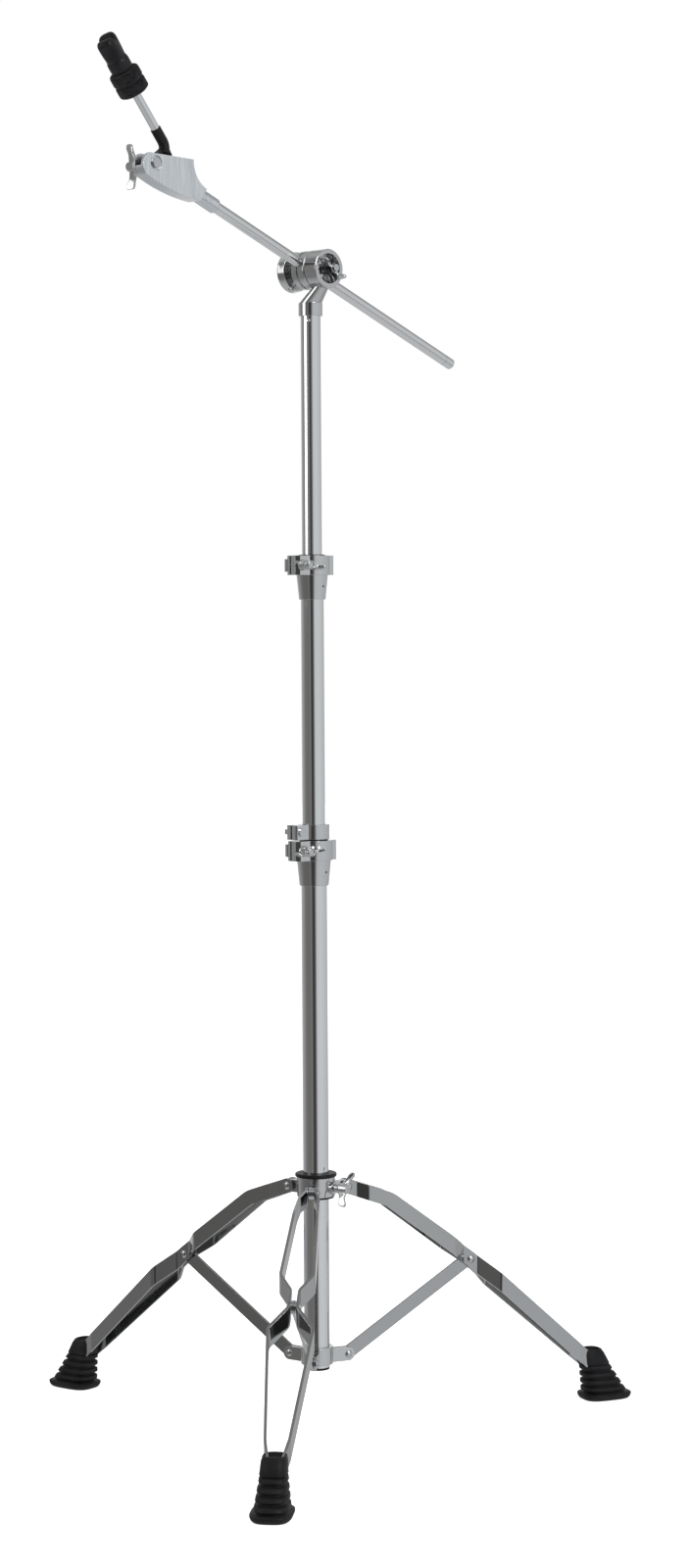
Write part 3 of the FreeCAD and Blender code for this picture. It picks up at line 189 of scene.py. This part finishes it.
def add_stage():
    """Plain pale floor."""
    half = FLOOR_HALF
    corners = [(-half, -half, 0), (half, -half, 0), (half, half, 0), (-half, half, 0)]
    mesh = bpy.data.meshes.new("floor")
    mesh.from_pydata(corners, [], [(0, 1, 2, 3)])
    floor = bpy.data.objects.new("floor", mesh)
    bpy.context.scene.collection.objects.link(floor)
    material = bpy.data.materials.new("floor_white")
    material.use_nodes = True
    shader = material.node_tree.nodes["Principled BSDF"]
    shader.inputs["Base Color"].default_value = (1, 1, 1, 1)
    shader.inputs["Roughness"].default_value = 0.7
    shader.inputs["Emission Color"].default_value = (1, 1, 1, 1)
    shader.inputs["Emission Strength"].default_value = FLOOR_GLOW
    mesh.materials.append(material)
    floor.visible_glossy = False


# ---------------------------------------------------------------- finishes
def new_material(name, colour, metallic, roughness):
    """Principled material with its tree, shader and object-space coordinates."""
    material = bpy.data.materials.new(name)
    material.use_nodes = True
    tree = material.node_tree
    shader = tree.nodes["Principled BSDF"]
    shader.inputs["Base Color"].default_value = (*colour, 1)
    shader.inputs["Metallic"].default_value = metallic
    shader.inputs["Roughness"].default_value = roughness
    place = tree.nodes.new("ShaderNodeTexCoord")
    return material, tree, shader, place.outputs["Object"]


def noise(tree, place, scale, detail=3.0, stretch=None):
    """Noise value over the object, optionally stretched along the axes."""
    if stretch:
        mapping = tree.nodes.new("ShaderNodeMapping")
        mapping.inputs["Scale"].default_value = stretch
        link(tree, place, mapping.inputs["Vector"])
        place = mapping.outputs[0]
    texture = tree.nodes.new("ShaderNodeTexNoise")
    texture.inputs["Scale"].default_value = scale
    texture.inputs["Detail"].default_value = detail
    link(tree, place, texture.inputs["Vector"])
    return texture.outputs["Fac"]


def spread(tree, value, low, high):
    """Map a noise value's useful range to low..high."""
    ranged = tree.nodes.new("ShaderNodeMapRange")
    ranged.inputs["From Min"].default_value = 0.3
    ranged.inputs["From Max"].default_value = 0.7
    ranged.inputs["To Min"].default_value = low
    ranged.inputs["To Max"].default_value = high
    link(tree, value, ranged.inputs["Value"])
    return ranged.outputs[0]


def tinted(tree, value, dark, light):
    """Colour between dark and light by a value."""
    ramp = tree.nodes.new("ShaderNodeValToRGB")
    fill_ramp(ramp.color_ramp, [(0.3, (*dark, 1)), (0.7, (*light, 1))])
    link(tree, value, ramp.inputs[0])
    return ramp.outputs["Color"]


def bumped(tree, shader, value, strength, distance):
    """Drive the shader's normal from a height value."""
    bump = tree.nodes.new("ShaderNodeBump")
    bump.inputs["Strength"].default_value = strength
    bump.inputs["Distance"].default_value = distance
    link(tree, value, bump.inputs["Height"])
    link(tree, bump.outputs[0], shader.inputs["Normal"])
    return bump


def rounded_edges(tree, bump, radius):
    """Catch light along edges as a real small radius does."""
    bevel = tree.nodes.new("ShaderNodeBevel")
    bevel.samples = 4
    bevel.inputs["Radius"].default_value = radius
    link(tree, bevel.outputs[0], bump.inputs["Normal"])


def chrome(name, level, roughness, wave, edge, stretch=None):
    """Plated finish: clean mirror with faint haze, polish lines and edge highlights."""
    colour = (level, level * 1.01, level * 1.015)
    material, tree, shader, place = new_material(name, colour, 1.0, roughness)
    haze = noise(tree, place, 14.0, 4.0)
    link(tree, spread(tree, haze, roughness * 0.6, roughness * 1.7), shader.inputs["Roughness"])
    smudge = noise(tree, place, 5.0, 2.0)
    dark = (level * 0.94, level * 0.945, level * 0.95)
    link(tree, tinted(tree, smudge, dark, colour), shader.inputs["Base Color"])
    lines = noise(tree, place, 900.0, 2.0, stretch or (1, 1, 1))
    bump = bumped(tree, shader, lines, wave, 0.00004)
    rounded_edges(tree, bump, edge)
    return material


def brushed(name):
    """Satin casting: fine upright brushing, soft highlights."""
    material, tree, shader, place = new_material(name, (0.62, 0.64, 0.66), 1.0, 0.3)
    grain = noise(tree, place, 700.0, 3.0, (1.0, 1.0, 0.04))
    link(tree, spread(tree, grain, 0.22, 0.40), shader.inputs["Roughness"])
    link(tree, tinted(tree, grain, (0.55, 0.57, 0.59), (0.70, 0.72, 0.74)), shader.inputs["Base Color"])
    bump = bumped(tree, shader, grain, 0.25, 0.0001)
    rounded_edges(tree, bump, 0.0006)
    return material


def dark_moulding(name, dark, light, roughness, scale, strength, distance):
    """Black rubber, nylon or paint: faint colour drift and fine grain."""
    material, tree, shader, place = new_material(name, dark, 0.0, roughness)
    shader.inputs["Specular IOR Level"].default_value = BLACK_SPECULAR
    drift = noise(tree, place, 60.0, 3.0)
    link(tree, tinted(tree, drift, dark, light), shader.inputs["Base Color"])
    grain = noise(tree, place, scale, 4.0)
    link(tree, spread(tree, grain, roughness * 0.85, min(1.0, roughness * 1.2)), shader.inputs["Roughness"])
    bump = bumped(tree, shader, grain, strength, distance)
    rounded_edges(tree, bump, 0.0005)
    return material


def felt(name):
    """Dense black felt: fibres and a soft sheen."""
    material, tree, shader, place = new_material(name, (0.008, 0.008, 0.009), 0.0, 0.95)
    shader.inputs["Specular IOR Level"].default_value = FELT_SPECULAR
    shader.inputs["Sheen Weight"].default_value = FELT_SHEEN
    shader.inputs["Sheen Roughness"].default_value = 0.5
    fibres = noise(tree, place, 1800.0, 6.0)
    clumps = noise(tree, place, 260.0, 4.0)
    link(tree, tinted(tree, clumps, (0.004, 0.004, 0.005), (0.014, 0.014, 0.015)), shader.inputs["Base Color"])
    bumped(tree, shader, fibres, 0.7, 0.0004)
    return material


FINISHES = {
    "chrome_tube": chrome("tube_chrome", 0.66, 0.055, 0.10, 0.0004, (1, 1, 0.01)),
    "chrome_casting": chrome("casting_chrome", 0.54, 0.10, 0.25, 0.0007),
    # The straps' chrome is set darker than the tube chrome (0.40 against 0.66): painted shade, standing in for the
    # darker reflections the straps face.
    "chrome_strap": chrome("strap_chrome_painted_shade", 0.40, 0.09, 0.15, 0.0006),
    "steel_fastener": chrome("fastener_chrome", 0.52, 0.14, 0.25, 0.0004),
    "satin_casting": brushed("satin_metal"),
    "foot_rubber": dark_moulding("foot_rubber", (0.005, 0.005, 0.006), (0.011, 0.011, 0.012),
                                 0.52, 700.0, 0.35, 0.0003),
    "black_casting": dark_moulding("black_paint", (0.004, 0.004, 0.005), (0.009, 0.009, 0.010),
                                   0.38, 500.0, 0.25, 0.0002),
    "black_nylon": dark_moulding("black_nylon", (0.004, 0.004, 0.005), (0.010, 0.010, 0.011),
                                 0.42, 900.0, 0.25, 0.0002),
    "black_felt": felt("black_felt"),
}
SLOT_OF = {part["node"]: part["material_slot"] for part in frame["record"]["subparts"]}


def finish_nodes():
    """Give every CAD node its finish."""
    for name, node in NODES.items():
        node.data.materials.clear()
        node.data.materials.append(FINISHES[SLOT_OF[name]])


# ---------------------------------------------------------------- mesh helpers
def build(name, points, faces):
    """Object from points and faces, in metres."""
    mesh = bpy.data.meshes.new(name)
    mesh.from_pydata(points, [], faces)
    thing = bpy.data.objects.new(name, mesh)
    bpy.context.scene.collection.objects.link(thing)
    return thing


def rings_to_faces(count, segments, closed_loop):
    """Quads between successive rings, and between last and first for a closed loop."""
    faces = []
    spans = count if closed_loop else count - 1
    for row in range(spans):
        start = row * segments
        after = ((row + 1) % count) * segments
        for step in range(segments):
            beside = (step + 1) % segments
            faces.append((start + step, start + beside, after + beside, after + step))
    return faces


def lathe(name, profile, segments=72, closed_loop=False):
    """Turned shape about +Z from (radius, height) points, listed so that the metal lies to their left."""
    points = []
    for radius, height in profile:
        for step in range(segments):
            angle = 2 * math.pi * step / segments
            points.append((radius * math.cos(angle), radius * math.sin(angle), height))
    faces = rings_to_faces(len(profile), segments, closed_loop)
    if not closed_loop:
        faces.append(tuple(range(segments))[::-1])
        last = (len(profile) - 1) * segments
        faces.append(tuple(range(last, last + segments)))
    return build(name, points, faces)


def eased(points, radius, steps=5, closed_loop=False):
    """Polyline with its corners rounded."""
    out = []
    count = len(points)
    for index, point in enumerate(points):
        here = Vector(point)
        if not closed_loop and index in (0, count - 1):
            out.append(tuple(here))
            continue
        before = Vector(points[index - 1]) - here
        after = Vector(points[(index + 1) % count]) - here
        cut = min(radius, before.length * 0.45, after.length * 0.45)
        start = here + before.normalized() * cut
        end = here + after.normalized() * cut
        for step in range(steps + 1):
            share = step / steps
            corner = start * (1 - share) ** 2 + here * 2 * share * (1 - share) + end * share ** 2
            out.append(tuple(corner))
    return out


def plate(name, outline, thickness):
    """Flat plate: an outline in XZ, extruded both ways along Y, optionally thicker at its root."""
    count = len(outline)
    points = [(x, -thickness(x) / 2, z) for x, z in outline]
    points += [(x, thickness(x) / 2, z) for x, z in outline]
    faces = [tuple(range(count)), tuple(range(2 * count - 1, count - 1, -1))]
    for step in range(count):
        beside = (step + 1) % count
        faces.append((step, step + count, beside + count, beside))
    return build(name, points, faces)


def merged(name, things):
    """One object from several, which are deleted."""
    shape = bmesh.new()
    for thing in things:
        shape.from_mesh(thing.data)
        bpy.data.objects.remove(thing)
    bmesh.ops.recalc_face_normals(shape, faces=shape.faces)
    mesh = bpy.data.meshes.new(name)
    shape.to_mesh(mesh)
    shape.free()
    whole = bpy.data.objects.new(name, mesh)
    bpy.context.scene.collection.objects.link(whole)
    return whole


def applied(thing):
    """Replace an object's mesh by its modified one."""
    graph = bpy.context.evaluated_depsgraph_get()
    mesh = bpy.data.meshes.new_from_object(thing.evaluated_get(graph))
    thing.modifiers.clear()
    thing.data = mesh
    return thing


def cast(name, things, voxel, passes):
    """Blend overlapping solids into one smooth casting."""
    whole = merged(name, things)
    remesh = whole.modifiers.new("remesh", "REMESH")
    remesh.mode = "VOXEL"
    remesh.voxel_size = voxel
    soften = whole.modifiers.new("soften", "SMOOTH")
    soften.factor = 0.5
    soften.iterations = passes
    return applied(whole)


def placed(thing, matrix):
    """Move a piece's mesh into the stand's frame."""
    thing.data.transform(matrix)
    thing.data.update()
    return thing


def axes_at(origin, along, across):
    """Matrix whose Z is along and whose X is across."""
    along = along.normalized()
    across = (across - along * across.dot(along)).normalized()
    side = along.cross(across)
    matrix = Matrix((across, side, along)).transposed().to_4x4()
    matrix.translation = origin
    return matrix


def hand_over(piece, body, *stands_for):
    """Finish by the slot of the first node it stands for, body and hidden replaced nodes of a new piece."""
    finish_slot = SLOT_OF[stands_for[0]]
    piece.data.materials.clear()
    piece.data.materials.append(FINISHES[finish_slot])
    for face in piece.data.polygons:
        face.use_smooth = True
    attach(piece, body)
    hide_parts(*stands_for)
    return piece


def points_of(node):
    """Points of a CAD node's mesh, in its own coordinates."""
    return [vertex.co.copy() for vertex in NODES[node].data.vertices]


# ---------------------------------------------------------------- wing nuts and wing bolts
HUB_MIN_RADIUS = 5.0 * MM   # everything wider than a shaft belongs to the head


def wing_measures(node, joint_name):
    """Axis, seat, wing direction and sizes of a wing nut or wing bolt, read from its node."""
    joint = JOINTS[joint_name]
    axis = Vector(joint["axis"]).normalized()
    pivot = Vector(joint["pos_m"])
    rows = []
    for point in points_of(node):
        height = (point - pivot).dot(axis)
        rows.append((height, point - pivot - axis * height))
    span = max(row[1].length for row in rows)
    wings = [row for row in rows if row[1].length > span * 0.8]
    heads = [row[0] for row in rows if row[1].length > HUB_MIN_RADIUS]
    if sum(row[0] for row in wings) / len(wings) < (min(heads) + max(heads)) / 2:
        axis = -axis
        rows = [(-height, away) for height, away in rows]
        heads = [-height for height in heads]
    low = min(heads)
    across = max(rows, key=lambda row: row[1].length)[1]
    at_seat = [row[1].length for row in rows if abs(row[0] - low) < 0.1 * MM]
    tail = min(row[0] for row in rows)
    return {"matrix": axes_at(pivot + axis * low, axis, across), "height": max(heads) - low, "span": span,
            "hub": max(at_seat), "shaft": low - tail, "body": joint["child"]}


def wing_head(name, sizes, bore, twist):
    """Rounded hub with two flared, slightly twisted wings."""
    height = sizes["height"]
    span = sizes["span"]
    hub = sizes["hub"]
    hub_top = height - 3.2 * MM
    skirt = 1.6 * MM
    profile = [(bore, 0), (hub, 0), (hub, skirt), (hub - 0.5 * MM, skirt + 0.6 * MM), (hub - 1.3 * MM, hub_top)]
    profile += [(bore, hub_top)]
    parts = [lathe("hub", eased(profile, 0.7 * MM, 4, True), 64, True)]
    root_low = height * 0.16
    root_high = height * 0.72
    tip_low = height * 0.46
    inner = bore + 0.9 * MM

    def thickness(x):
        return (3.9 - 1.2 * min(1.0, abs(x) / span)) * MM

    outline = [(inner, root_low), (hub, root_low + 0.2 * MM), (span * 0.72, tip_low * 0.86), (span, tip_low)]
    outline += [(span, height - 0.4 * MM), (span * 0.80, height), (span * 0.52, root_high), (inner, root_high)]
    for side in (1, -1):
        shape = eased([(x, z) for x, z in outline], 3.4 * MM, 6, True)
        wing = plate("wing", [(side * x, z) for x, z in shape], thickness)
        for vertex in wing.data.vertices:
            reach = max(0.0, abs(vertex.co.x) - hub) / (span - hub)
            vertex.co.y += side * twist * reach * (vertex.co.z - height * 0.45)
        parts.append(wing)
    return cast(name, parts, 0.36 * MM, 5)


def threaded(name, radius, start, end, pitch=1.0 * MM):
    """Screw thread: fine ridges along a shank."""
    profile = [(radius - 0.25 * MM, start)]
    height = start
    while height + pitch < end:
        profile += [(radius, height + pitch * 0.25), (radius, height + pitch * 0.45)]
        profile += [(radius - 0.35 * MM, height + pitch * 0.85)]
        height += pitch
    profile += [(radius - 0.25 * MM, end)]
    return lathe(name, profile, 40)


def add_wing_nut(node, joint_name, bore, twist=0.22):
    """Cast wing nut in place of its node."""
    sizes = wing_measures(node, joint_name)
    piece = wing_head(node + "_cast", sizes, bore, twist)
    hand_over(placed(piece, sizes["matrix"]), sizes["body"], node)


def add_wing_bolt(node, joint_name, radius, twist=0.22):
    """Wing head and threaded shank of a wing bolt, in one piece."""
    sizes = wing_measures(node, joint_name)
    head = wing_head(node + "_cast", sizes, 1.6 * MM, twist)
    shank = threaded("shank", radius, -sizes["shaft"], sizes["height"] - 3.6 * MM)
    piece = merged(node + "_cast", [head, shank])
    hand_over(placed(piece, sizes["matrix"]), sizes["body"], node)


# ---------------------------------------------------------------- feet
def squircle(centre, size, power, height, segments):
    """Ring of points of a rounded rectangle, in the leg's own frame (X away from the column)."""
    ring = []
    for step in range(segments):
        angle = 2 * math.pi * (step + 0.5) / segments
        c, s = math.cos(angle), math.sin(angle)
        x = math.copysign(abs(c) ** (2 / power), c) * size[0] / 2
        y = math.copysign(abs(s) ** (2 / power), s) * size[1] / 2
        ring.append(Vector((centre + x, y, height)))
    return ring


FOOT_RIBS = 4
FOOT_RIB_DEPTH = 3.4 * MM
FOOT_SEGMENTS = 112


def foot_levels(height, sole, rim):
    """Sections of the foot from sole to cuff: height, length, width, squareness."""
    length, width = sole
    flange = 7.0 * MM
    levels = [(0.0, length - 7.0 * MM, width - 7.0 * MM, 3.2),
              (0.5 * MM, length - 5.2 * MM, width - 5.2 * MM, 3.2)]
    levels += [(2.0 * MM, length - 2.4 * MM, width - 2.4 * MM, 3.2),
               (4.0 * MM, length - 0.6 * MM, width - 0.6 * MM, 3.2)]
    levels += [(5.4 * MM, length, width, 3.2), (flange - 0.5 * MM, length - 0.3 * MM, width - 0.3 * MM, 3.2)]
    levels += [(flange, length - 1.4 * MM, width - 1.4 * MM, 3.2)]
    ribbed_top = height - 18.0 * MM
    pitch = (ribbed_top - flange) / FOOT_RIBS
    foot_length, foot_width = length - 7.0 * MM, width - 6.0 * MM
    band_length, band_width = rim[0] + 6.0 * MM, rim[1] + 4.0 * MM
    for index in range(FOOT_RIBS):
        base = flange + index * pitch
        for share, inset in ((0.04, 1.0), (0.22, 1.0), (0.30, 0.75), (0.36, 0.15), (0.46, 0.0), (0.86, 0.06),
                             (0.94, 0.3), (1.0, 0.85)):
            at = (base - flange + share * pitch) / (ribbed_top - flange)
            full_length = foot_length + (band_length - foot_length) * at
            full_width = foot_width + (band_width - foot_width) * at
            cut = 2 * FOOT_RIB_DEPTH * inset
            levels.append((base + share * pitch, full_length - cut, full_width - cut * 0.8, 3.0))
    band = ribbed_top + 0.8 * MM
    levels += [(band, band_length - 1.0 * MM, band_width - 1.0 * MM, 3.0),
               (band + 0.8 * MM, band_length, band_width, 3.0)]
    levels += [(height - 4.2 * MM, rim[0] + 2.4 * MM, rim[1] + 1.8 * MM, 2.9)]
    levels += [(height - 3.2 * MM, rim[0] + 1.0 * MM, rim[1] + 0.6 * MM, 2.9)]
    levels += [(height - 0.9 * MM, rim[0], rim[1], 2.8),
               (height - 0.2 * MM, rim[0] - 1.0 * MM, rim[1] - 1.0 * MM, 2.8)]
    levels += [(height, rim[0] - 2.4 * MM, rim[1] - 2.4 * MM, 2.8)]
    levels += [(height - 0.3 * MM, rim[0] - 4.4 * MM, rim[1] - 4.4 * MM, 2.8)]
    levels += [(height - 3.0 * MM, rim[0] - 5.4 * MM, rim[1] - 5.4 * MM, 2.8)]
    return levels


def add_foot(leg):
    """Moulded rubber foot with ribs, scalloped along its outer side, a rolled cuff and a wide sole."""
    node = leg + "_foot"
    low, high = (Vector(corner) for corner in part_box(node))
    height = high.z
    cloud = points_of(node)
    sole = [point for point in cloud if point.z < 0.1 * MM]
    centre = sum(sole, Vector()) / len(sole)
    rim = [point for point in cloud if point.z > height - 0.1 * MM]
    away = Vector((centre.x, centre.y, 0)).normalized()
    side = UP.cross(away)

    def reach(points, axis):
        values = [point.dot(axis) for point in points]
        return min(values), max(values)

    flange = [point for point in cloud if point.z < 8.0 * MM]
    out_low, out_high = reach(flange, away)
    side_low, side_high = reach(flange, side)
    top_low, top_high = reach(rim, away)
    rim_low, rim_high = reach(rim, side)
    base_centre = (out_low + out_high) / 2
    top_centre = (top_low + top_high) / 2
    rings = []
    sizes = ((out_high - out_low, side_high - side_low), (top_high - top_low, rim_high - rim_low))
    for level, length, width, power in foot_levels(height, *sizes):
        share = max(0.0, (level - 7.0 * MM) / (height - 7.0 * MM))
        middle = base_centre + (top_centre - base_centre) * share
        rings.append(squircle(middle, (length, width), power, level, FOOT_SEGMENTS))
    points = [point for ring in rings for point in ring]
    faces = rings_to_faces(len(rings), FOOT_SEGMENTS, False)
    faces.append(tuple(range(FOOT_SEGMENTS))[::-1])
    last = (len(rings) - 1) * FOOT_SEGMENTS
    faces.append(tuple(range(last, last + FOOT_SEGMENTS)))
    piece = build(node + "_rubber", points, faces)
    for vertex in piece.data.vertices:
        spot = vertex.co
        if 8.0 * MM < spot.z < height - 17.0 * MM:
            grain = field.noise(spot * 160.0)
            spot.x += grain * 0.25 * MM
            spot.y += grain * 0.25 * MM
    matrix = Matrix((away, side, UP)).transposed().to_4x4()
    return hand_over(placed(piece, matrix), leg + "_leg", node)


# ---------------------------------------------------------------- cymbal post
def post_frame():
    """Post pivot and axis, from its joint."""
    joint = JOINTS["cymbal_nut_turn"]
    return Vector(joint["pos_m"]), Vector(joint["axis"]).normalized()


def span_on(node, origin, axis):
    """Lowest and highest reach of a node along an axis."""
    heights = [(point - origin).dot(axis) for point in points_of(node)]
    return min(heights), max(heights)


def widest(node, origin, axis):
    """Largest distance of a node's points from an axis."""
    return max((point - origin).cross(axis).length for point in points_of(node))


def narrowest(node, origin, axis):
    """Smallest distance of a node's points from an axis."""
    return min((point - origin).cross(axis).length for point in points_of(node))


def add_felt(node):
    """Felt washer with soft rounded edges and a slightly uneven, fibrous surface."""
    origin, axis = post_frame()
    start, end = span_on(node, origin, axis)
    outer = widest(node, origin, axis)
    bore = narrowest(node, origin, axis)
    loop = [(bore, start), (outer, start), (outer, end), (bore, end)]
    loop = eased(loop, FELT_EDGE, 8, True)
    dense = []
    for first, second in zip(loop, loop[1:] + loop[:1]):
        parts = max(1, int((Vector(second) - Vector(first)).length / (0.9 * MM)))
        for step in range(parts):
            dense.append(tuple(Vector(first).lerp(Vector(second), step / parts)))
    piece = lathe(node + "_pad", dense, 132, True)
    for vertex in piece.data.vertices:
        spot = vertex.co
        radius = math.hypot(spot.x, spot.y)
        if radius > bore + 1.0 * MM:
            rough = 0.22 * field.noise(spot * 420.0) + 0.28 * field.noise(spot * 110.0) - 0.25
            spot.x += spot.x / radius * rough * MM
            spot.y += spot.y / radius * rough * MM
    placed(piece, axes_at(origin, axis, UP.cross(axis)))
    hand_over(piece, JOINTS["post_tilt"]["child"], node)


def add_cup_washer():
    """Thin pressed washer, turned up a little at its rim."""
    origin, axis = post_frame()
    start, end = span_on("cup_washer", origin, axis)
    outer = widest("cup_washer", origin, axis)
    bore = narrowest("cup_washer", origin, axis)
    thick = end - start
    loop = [(bore, start), (outer - 2.0 * MM, start), (outer - 0.4 * MM, start + 0.4 * thick), (outer, end)]
    loop += [(outer - 1.2 * MM, end), (outer - 2.6 * MM, start + 0.7 * thick), (bore, start + 0.7 * thick)]
    piece = lathe("cup_washer_pressed", eased(loop, 0.3 * MM, 3, True), 96, True)
    placed(piece, axes_at(origin, axis, UP.cross(axis)))
    hand_over(piece, JOINTS["post_tilt"]["child"], "cup_washer")


def add_cymbal_nut():
    """Moulded hand nut: round collar, stepped waist and two flared wings with a notch between them."""
    origin, axis = post_frame()
    start, end = span_on("cymbal_nut", origin, axis)
    height = end - start
    cloud = points_of("cymbal_nut")
    across = max((point - origin - axis * (point - origin).dot(axis) for point in cloud),
                 key=lambda away: away.length)
    half = across.length
    neck = max((p - origin).cross(axis).length for p in cloud if (p - origin).dot(axis) < start + 0.5 * MM)
    depth = 10.5 * MM
    waist = 15.0 * MM
    rows = [(0.0, neck - 0.8 * MM, neck - 0.8 * MM), (0.8 * MM, neck, neck), (waist - 2.6 * MM, neck, neck)]
    rows += [(waist - 1.8 * MM, neck - 0.6 * MM, neck - 0.7 * MM),
             (waist - 0.6 * MM, neck - 0.9 * MM, depth + 0.7 * MM)]
    rows += [(waist + 0.6 * MM, neck + 0.5 * MM, depth + 0.2 * MM),
             (waist + 3.0 * MM, neck + 0.9 * MM, depth)]
    rows += [(height * 0.60, neck + 1.7 * MM, depth - 0.2 * MM),
             (height * 0.72, half - 1.2 * MM, depth - 0.3 * MM)]
    rows += [(height * 0.82, half - 0.2 * MM, depth - 0.4 * MM), (height * 0.88, half, depth - 0.6 * MM)]
    rows += [(height * 0.95, half - 1.2 * MM, depth - 1.4 * MM),
             (height * 0.985, half - 2.6 * MM, depth - 2.8 * MM)]
    rows += [(height, half - 4.2 * MM, depth - 4.4 * MM), (height, half * 0.45, depth * 0.35),
             (height, half * 0.15, depth * 0.1)]
    segments = 96
    points = []
    for level, long_half, short_half in rows:
        square = 2.0 + 1.2 * min(1.0, max(0.0, (level - waist) / (10.0 * MM)))
        for spot in squircle(0.0, (2 * long_half, 2 * short_half), square, level, segments):
            points.append(spot)
    faces = rings_to_faces(len(rows), segments, False)
    faces.append(tuple(range(segments))[::-1])
    last = (len(rows) - 1) * segments
    faces.append(tuple(range(last, last + segments)))
    piece = build("cymbal_nut_moulded", points, faces)
    smooth = piece.modifiers.new("smooth", "SUBSURF")
    smooth.levels = 2
    smooth.render_levels = 2
    applied(piece)
    notch_top = height * 0.66
    for vertex in piece.data.vertices:
        spot = vertex.co
        if spot.z > notch_top:
            rise = (spot.z - notch_top) / (height - notch_top)
            dip = math.exp(-(spot.x / (4.2 * MM)) ** 2)
            spot.z -= dip * rise * 6.5 * MM
    for vertex in piece.data.vertices:
        vertex.co.z += start
    placed(piece, axes_at(origin, axis, across))
    hand_over(piece, JOINTS["cymbal_nut_turn"]["child"], "cymbal_nut")


def add_pieces():
    """Everything that is cast, moulded or pressed to a shape of its own."""
    add_wing_nut("lower_clamp_wing_nut", "lower_clamp_nut_turn", 3.2 * MM)
    add_wing_nut("upper_clamp_wing_nut", "upper_clamp_nut_turn", 3.2 * MM)
    add_wing_nut("tilter_wing_nut", "tilter_nut_turn", 4.2 * MM)
    add_wing_nut("hinge_wing_nut", "hinge_nut_turn", 3.2 * MM)
    add_wing_bolt("collar_wing_bolt", "collar_bolt_turn", 4.0 * MM)
    add_wing_bolt("rod_wing_bolt", "rod_bolt_turn", 4.0 * MM)
    for leg in ("front", "right", "left"):
        add_foot(leg)
    add_felt("lower_felt")
    add_felt("upper_felt")
    add_cup_washer()
    add_cymbal_nut()


add_camera()
add_world()
add_stage()
add_area_light("key", (2.2, -2.4, 2.8), (0, 0, 0.8), (1.6, 1.6), KEY_POWER)
add_area_light("fill", (-2.6, -1.6, 2.0), (0, 0, 0.7), (1.6, 2.2), FILL_POWER)
finish_nodes()
add_pieces()
bpy.context.scene.view_settings.view_transform = "Standard"
